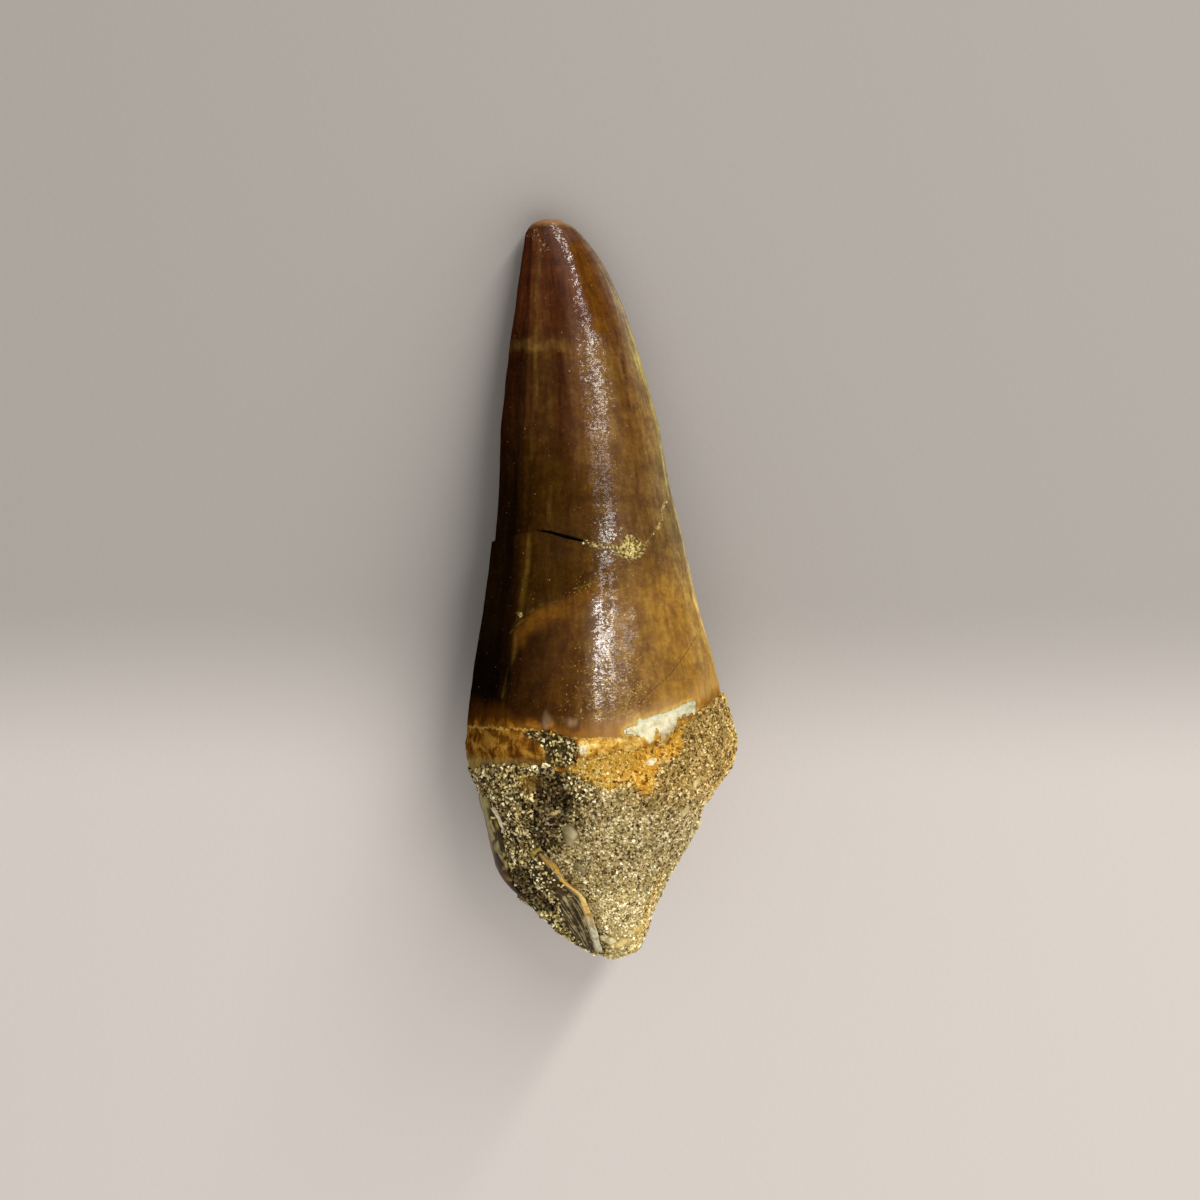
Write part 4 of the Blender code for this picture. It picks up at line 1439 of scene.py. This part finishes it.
def pebble_material(groups):
    material, graph, shader = new_material("pebble_stone", specular_ior_level=0.12)
    grit = graph.group(groups["grit"], Size=0.4)
    specks = graph.group(groups["speckle"], Size=0.12, Share=0.15)["Mask"]
    colour = graph.mix(specks * 0.6, graph.ramp(grit["Tone"], PEBBLE_TONES), PEBBLE_SPECK)
    finish(graph, shader, colour, grit["Tone"] * 0.2 + 0.45, grit["Height"] * 0.06)
    return material


def chip_material(groups):
    """Small chips of bone and stone bedded in the sand. Each has its own tint."""
    material, graph, shader = new_material("bedded_chips", specular_ior_level=0.06)
    grit = graph.group(groups["grit"], Size=0.22)
    mottle = graph.mix(grit["Tone"], (0.62, 0.58, 0.52), (1.15, 1.15, 1.15))
    colour = graph.tinted(graph.read("tint", "Color"), mottle)
    finish(graph, shader, colour, grit["Tone"] * 0.2 + 0.5, grit["Height"] * 0.08)
    return material


# Floor, from near the camera's foot to its far side
FLOOR_SIZE = 1.5
FLOOR_NEAR = (0.500, 0.462, 0.436)
FLOOR_FAR = (0.312, 0.288, 0.268)


def floor_material():
    """Pale paper, a little darker towards the far side."""
    material, graph, shader = new_material("floor_paper")
    place = graph.millimetres()
    far = graph.split(place)[1]
    colour = graph.mix(graph.step(far, -18.0, -1.0), FLOOR_NEAR, FLOOR_FAR)
    grain = graph.noise(place, 2.0, 4.0)
    finish(graph, shader, colour, grain * 0.05 + 0.85, grain * 0.02)
    return material


# Grains of sand, bedded by Geometry Nodes

GRAIN_CUBE = (0.8, 0.8, 0.8)
COARSE_CUTS = 3
COARSE_ROUNDNESS = 0.62
LEAST_SIDES = (0.75, 0.6, 0.5)
MOST_SIDES = (1.35, 1.1, 1.0)


def grain_points(graph):
    """Points scattered over the surface, as thickly as one of its attributes says, then sunk."""
    given = graph.given
    where = graph.node("GeometryNodeInputNamedAttribute", {"Name": given["Where"]})["Attribute"]
    feeds = {"Mesh": given["Surface"], "Distance Min": given["Spacing"], "Density Factor": where,
             "Density Max": 3.0 / (given["Spacing"] * given["Spacing"]), "Seed": given["Seed"]}
    spread_out = graph.node("GeometryNodeDistributePointsOnFaces", feeds, distribute_method="POISSON")
    down = graph.vector("SCALE", spread_out["Normal"], Scale=given["Sink"])
    return graph.node("GeometryNodeSetPosition", {"Geometry": spread_out["Points"], "Offset": down})[0]


def grain_shape(graph):
    """One grain: a cube, or the rounder, coarse kind, which is a cube pushed towards a ball."""
    fine = graph.node("GeometryNodeMeshCube", {"Size": GRAIN_CUBE})["Mesh"]
    cuts = {"Vertices " + axis: COARSE_CUTS for axis in "XYZ"}
    coarse = graph.node("GeometryNodeMeshCube", {"Size": GRAIN_CUBE, **cuts})["Mesh"]
    here = graph.node("GeometryNodeInputPosition")[0]
    ball = graph.stretched(graph.vector("NORMALIZE", here), (0.5, 0.5, 0.5))
    rounder = graph.node("ShaderNodeMix", {0: COARSE_ROUNDNESS, 4: here, 5: ball}, data_type="VECTOR")[1]
    coarse = graph.node("GeometryNodeSetPosition", {"Geometry": coarse, "Position": rounder})[0]
    feeds = {"Switch": graph.given["Coarse"], "False": fine, "True": coarse}
    return graph.node("GeometryNodeSwitch", feeds, input_type="GEOMETRY")[0]


def random_vector(graph, low, high, seed):
    feeds = {0: low, 1: high, "Seed": seed}
    return graph.node("FunctionNodeRandomValue", feeds, data_type="FLOAT_VECTOR")[0]


def grains_tree():
    """Grains half sunk in a surface. Each is turned, stretched and toned its own way."""
    inputs = {"Surface": "Geometry", "Where": "String", "Spacing": "Float", "Grain Size": "Float",
              "Sink": "Float", "Length": "Float", "Coarse": "Bool", "Seed": "Int", "Finish": "Material"}
    graph = Group("bedded_grains", "GeometryNodeTree", inputs, {"Grains": "Geometry"})
    given = graph.given
    turn = random_vector(graph, (0, 0, 0), (math.tau,) * 3, given["Seed"])
    turn = graph.node("FunctionNodeEulerToRotation", {"Euler": turn})[0]
    sides = random_vector(graph, LEAST_SIDES, MOST_SIDES, given["Seed"] + 100)
    longer = graph.node("ShaderNodeCombineXYZ", {"X": given["Length"], "Y": 1.0, "Z": 1.0})[0]
    size = graph.vector("SCALE", graph.stretched(sides, longer), Scale=given["Grain Size"])
    grains = graph.node("GeometryNodeInstanceOnPoints", {
        "Points": grain_points(graph), "Instance": grain_shape(graph), "Rotation": turn, "Scale": size})[0]
    feeds = {2: 0.0, 3: 1.0, "Seed": given["Seed"] + 200}
    tone = graph.node("FunctionNodeRandomValue", feeds, data_type="FLOAT")[1]
    feeds = {"Geometry": grains, "Name": "tone", "Value": tone}
    stored = graph.node("GeometryNodeStoreNamedAttribute", feeds, data_type="FLOAT", domain="INSTANCE")
    grains = stored[0]
    grains = graph.node("GeometryNodeRealizeInstances", {"Geometry": grains})[0]

    bumps = graph.node("ShaderNodeTexNoise", {"Scale": 0.9 / given["Grain Size"], "Detail": 1.0})["Color"]
    push = graph.vector("SCALE", graph.vector("SUBTRACT", bumps, (0.5, 0.5, 0.5)), Scale=given["Grain Size"])
    grains = graph.node("GeometryNodeSetPosition", {"Geometry": grains, "Offset": push})[0]
    grains = graph.node("GeometryNodeSetShadeSmooth", {"Geometry": grains, "Shade Smooth": False})[0]
    finished = {"Geometry": grains, "Material": given["Finish"]}
    return graph.giving(Grains=graph.node("GeometryNodeSetMaterial", finished)[0])


def bed_grains(tree, name, surface, **values):
    """Runs the tree on a finished piece. The grains become a plain mesh, in a piece of their own."""
    helper = put_in_scene(name + "_surface", surface.data)
    modifier = helper.modifiers.new("grains", "NODES")
    modifier.node_group = tree
    for label, value in values.items():
        modifier[tree.interface.items_tree[label.replace("_", " ")].identifier] = value
    scene_now = bpy.context.evaluated_depsgraph_get()
    mesh = bpy.data.meshes.new_from_object(
        helper.evaluated_get(scene_now), preserve_all_data_layers=True, depsgraph=scene_now)
    bpy.data.objects.remove(helper)
    mesh.name = name
    places = np.empty(len(mesh.vertices) * 3, np.float32)
    mesh.vertices.foreach_get("co", places)
    places[2::3] = np.maximum(places[2::3], 0)
    mesh.vertices.foreach_set("co", places)
    return put_in_scene(name, mesh)


# Each bed of grains: the piece it lies on, the attribute that says where, how far apart and how
# big the grains are in millimetres, how deep they sink, how many times longer than wide they may
# be, and whether they are the rounder kind.
GRAIN_BEDS = (
    ("sand_coarse", "matrix_cement", "sand", 1.9, 0.52, 0.1, 1.0, True),
    ("sand_medium", "matrix_cement", "sand", 0.55, 0.34, 0.07, 1.0, False),
    ("sand_fine_front", "matrix_cement", "sand_front", 0.18, 0.225, 0.04, 1.0, False),
    ("sand_fine_back", "matrix_cement", "sand_back", 0.27, 0.27, 0.03, 1.0, False),
    ("sand_flakes", "matrix_cement", "flakes", 0.3, 0.26, 0.05, 2.2, False),
    ("notch_sand", "tooth_crown", "notch_sand", 0.21, 0.25, 0.03, 1.5, False),
    ("crust_sand", "tooth_crown", "crust_sand", 0.23, 0.22, 0.05, 1.0, False),
    ("splinter_sand", "bone_splinter_skin", "sand", 0.2, 0.23, 0.03, 1.6, False),
    ("shard_sand", "root_shard_skin", "sand", 0.22, 0.24, 0.03, 1.6, False),
    ("gold_crust", "tooth_crown", "gold_sand", 0.2, 0.2, 0.05, 1.0, False),
)
NODE_OF = {"matrix_cement": "matrix", "tooth_crown": "crown", "bone_splinter_skin": "bone_splinter",
           "root_shard_skin": "root_shard"}


def build_grains(surfaces, materials):
    """Every bed of grains, with the node it belongs to."""
    tree = grains_tree()
    beds = []
    for seed, (name, surface, where, spacing, size, sink, length, coarse) in enumerate(GRAIN_BEDS):
        piece = bed_grains(
            tree, name, surfaces[surface], Where=where, Spacing=spacing * MM, Grain_Size=size * MM,
            Sink=-sink * MM, Length=length, Coarse=coarse, Seed=seed,
            Finish=materials.get(name, materials["sand"]))
        beds.append((piece, NODE_OF[surface]))
    return beds


# Picture

LIGHT_COLOUR = (1.0, 0.98, 0.95)
WORLD_COLOUR = (1.0, 0.98, 0.96)
WORLD_STRENGTH = 0.45


def set_camera():
    data = bpy.data.cameras.new("camera")
    data.lens = LENS
    data.sensor_width = SENSOR
    data.clip_start = 0.01
    camera = put_in_scene("camera", data)
    turn = Matrix.Rotation(-LYING_ANGLE, 4, "X")
    camera.matrix_world = Matrix.Translation(OWN @ Vector((*AIM, CAMERA_DISTANCE))) @ turn
    bpy.context.scene.camera = camera


def add_light(name, own_place, size, watts):
    """A soft rectangular light, which shines at the middle of the tooth."""
    data = bpy.data.lights.new(name, "AREA")
    data.shape = "RECTANGLE"
    data.size, data.size_y = (side * MM for side in size)
    data.energy = watts
    data.color = LIGHT_COLOUR
    place = OWN @ Vector(own_place)
    turn = (OWN @ Vector((*AIM, 0)) - place).to_track_quat("-Z", "Y")
    put_in_scene(name, data).matrix_world = Matrix.Translation(place) @ turn.to_matrix().to_4x4()


def set_lights():
    add_light("key", (185, 250, 350), (38, 480), 1.68)
    add_light("low", (130, -230, 330), (540, 420), 1.42)
    world = bpy.data.worlds.new("studio")
    bpy.context.scene.world = world
    world.use_nodes = True
    background = world.node_tree.nodes["Background"]
    background.inputs["Color"].default_value = (*WORLD_COLOUR, 1)
    background.inputs["Strength"].default_value = WORLD_STRENGTH


def build_floor():
    body = bmesh.new()
    bmesh.ops.create_grid(body, x_segments=1, y_segments=1, size=FLOOR_SIZE)
    mesh = bpy.data.meshes.new("floor")
    body.to_mesh(mesh)
    body.free()
    mesh.materials.append(floor_material())
    put_in_scene("floor", mesh)


def main():
    groups = {"grit": grit_group(), "speckle": speckle_group(), "streaks": streaks_group(),
              "facets": facets_group(), "gravel": gravel_group()}
    crown = build_crown(enamel_material(groups))
    lump = build_lump(cement_material(groups))
    splinter = build_splinter(ochre_bone_material(groups))
    shard = build_shard(olive_bone_material(groups))
    pieces = [
        (crown, "crown"),
        (lump, "matrix"),
        (splinter, "bone_splinter"),
        (shard, "root_shard"),
        (build_pebble(pebble_material(groups)), "pebble"),
        (build_chips(chip_material(groups), lump), "matrix"),
    ]
    materials = {"sand": grain_material(groups), "gold_crust": gold_grain_material(groups)}
    pieces += build_grains({piece.name: piece for piece in (crown, lump, splinter, shard)}, materials)
    for piece, node in pieces:
        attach(piece, "root")
        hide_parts(node)
    build_floor()
    set_camera()
    set_lights()
    bpy.context.scene.view_settings.view_transform = "Standard"


main()
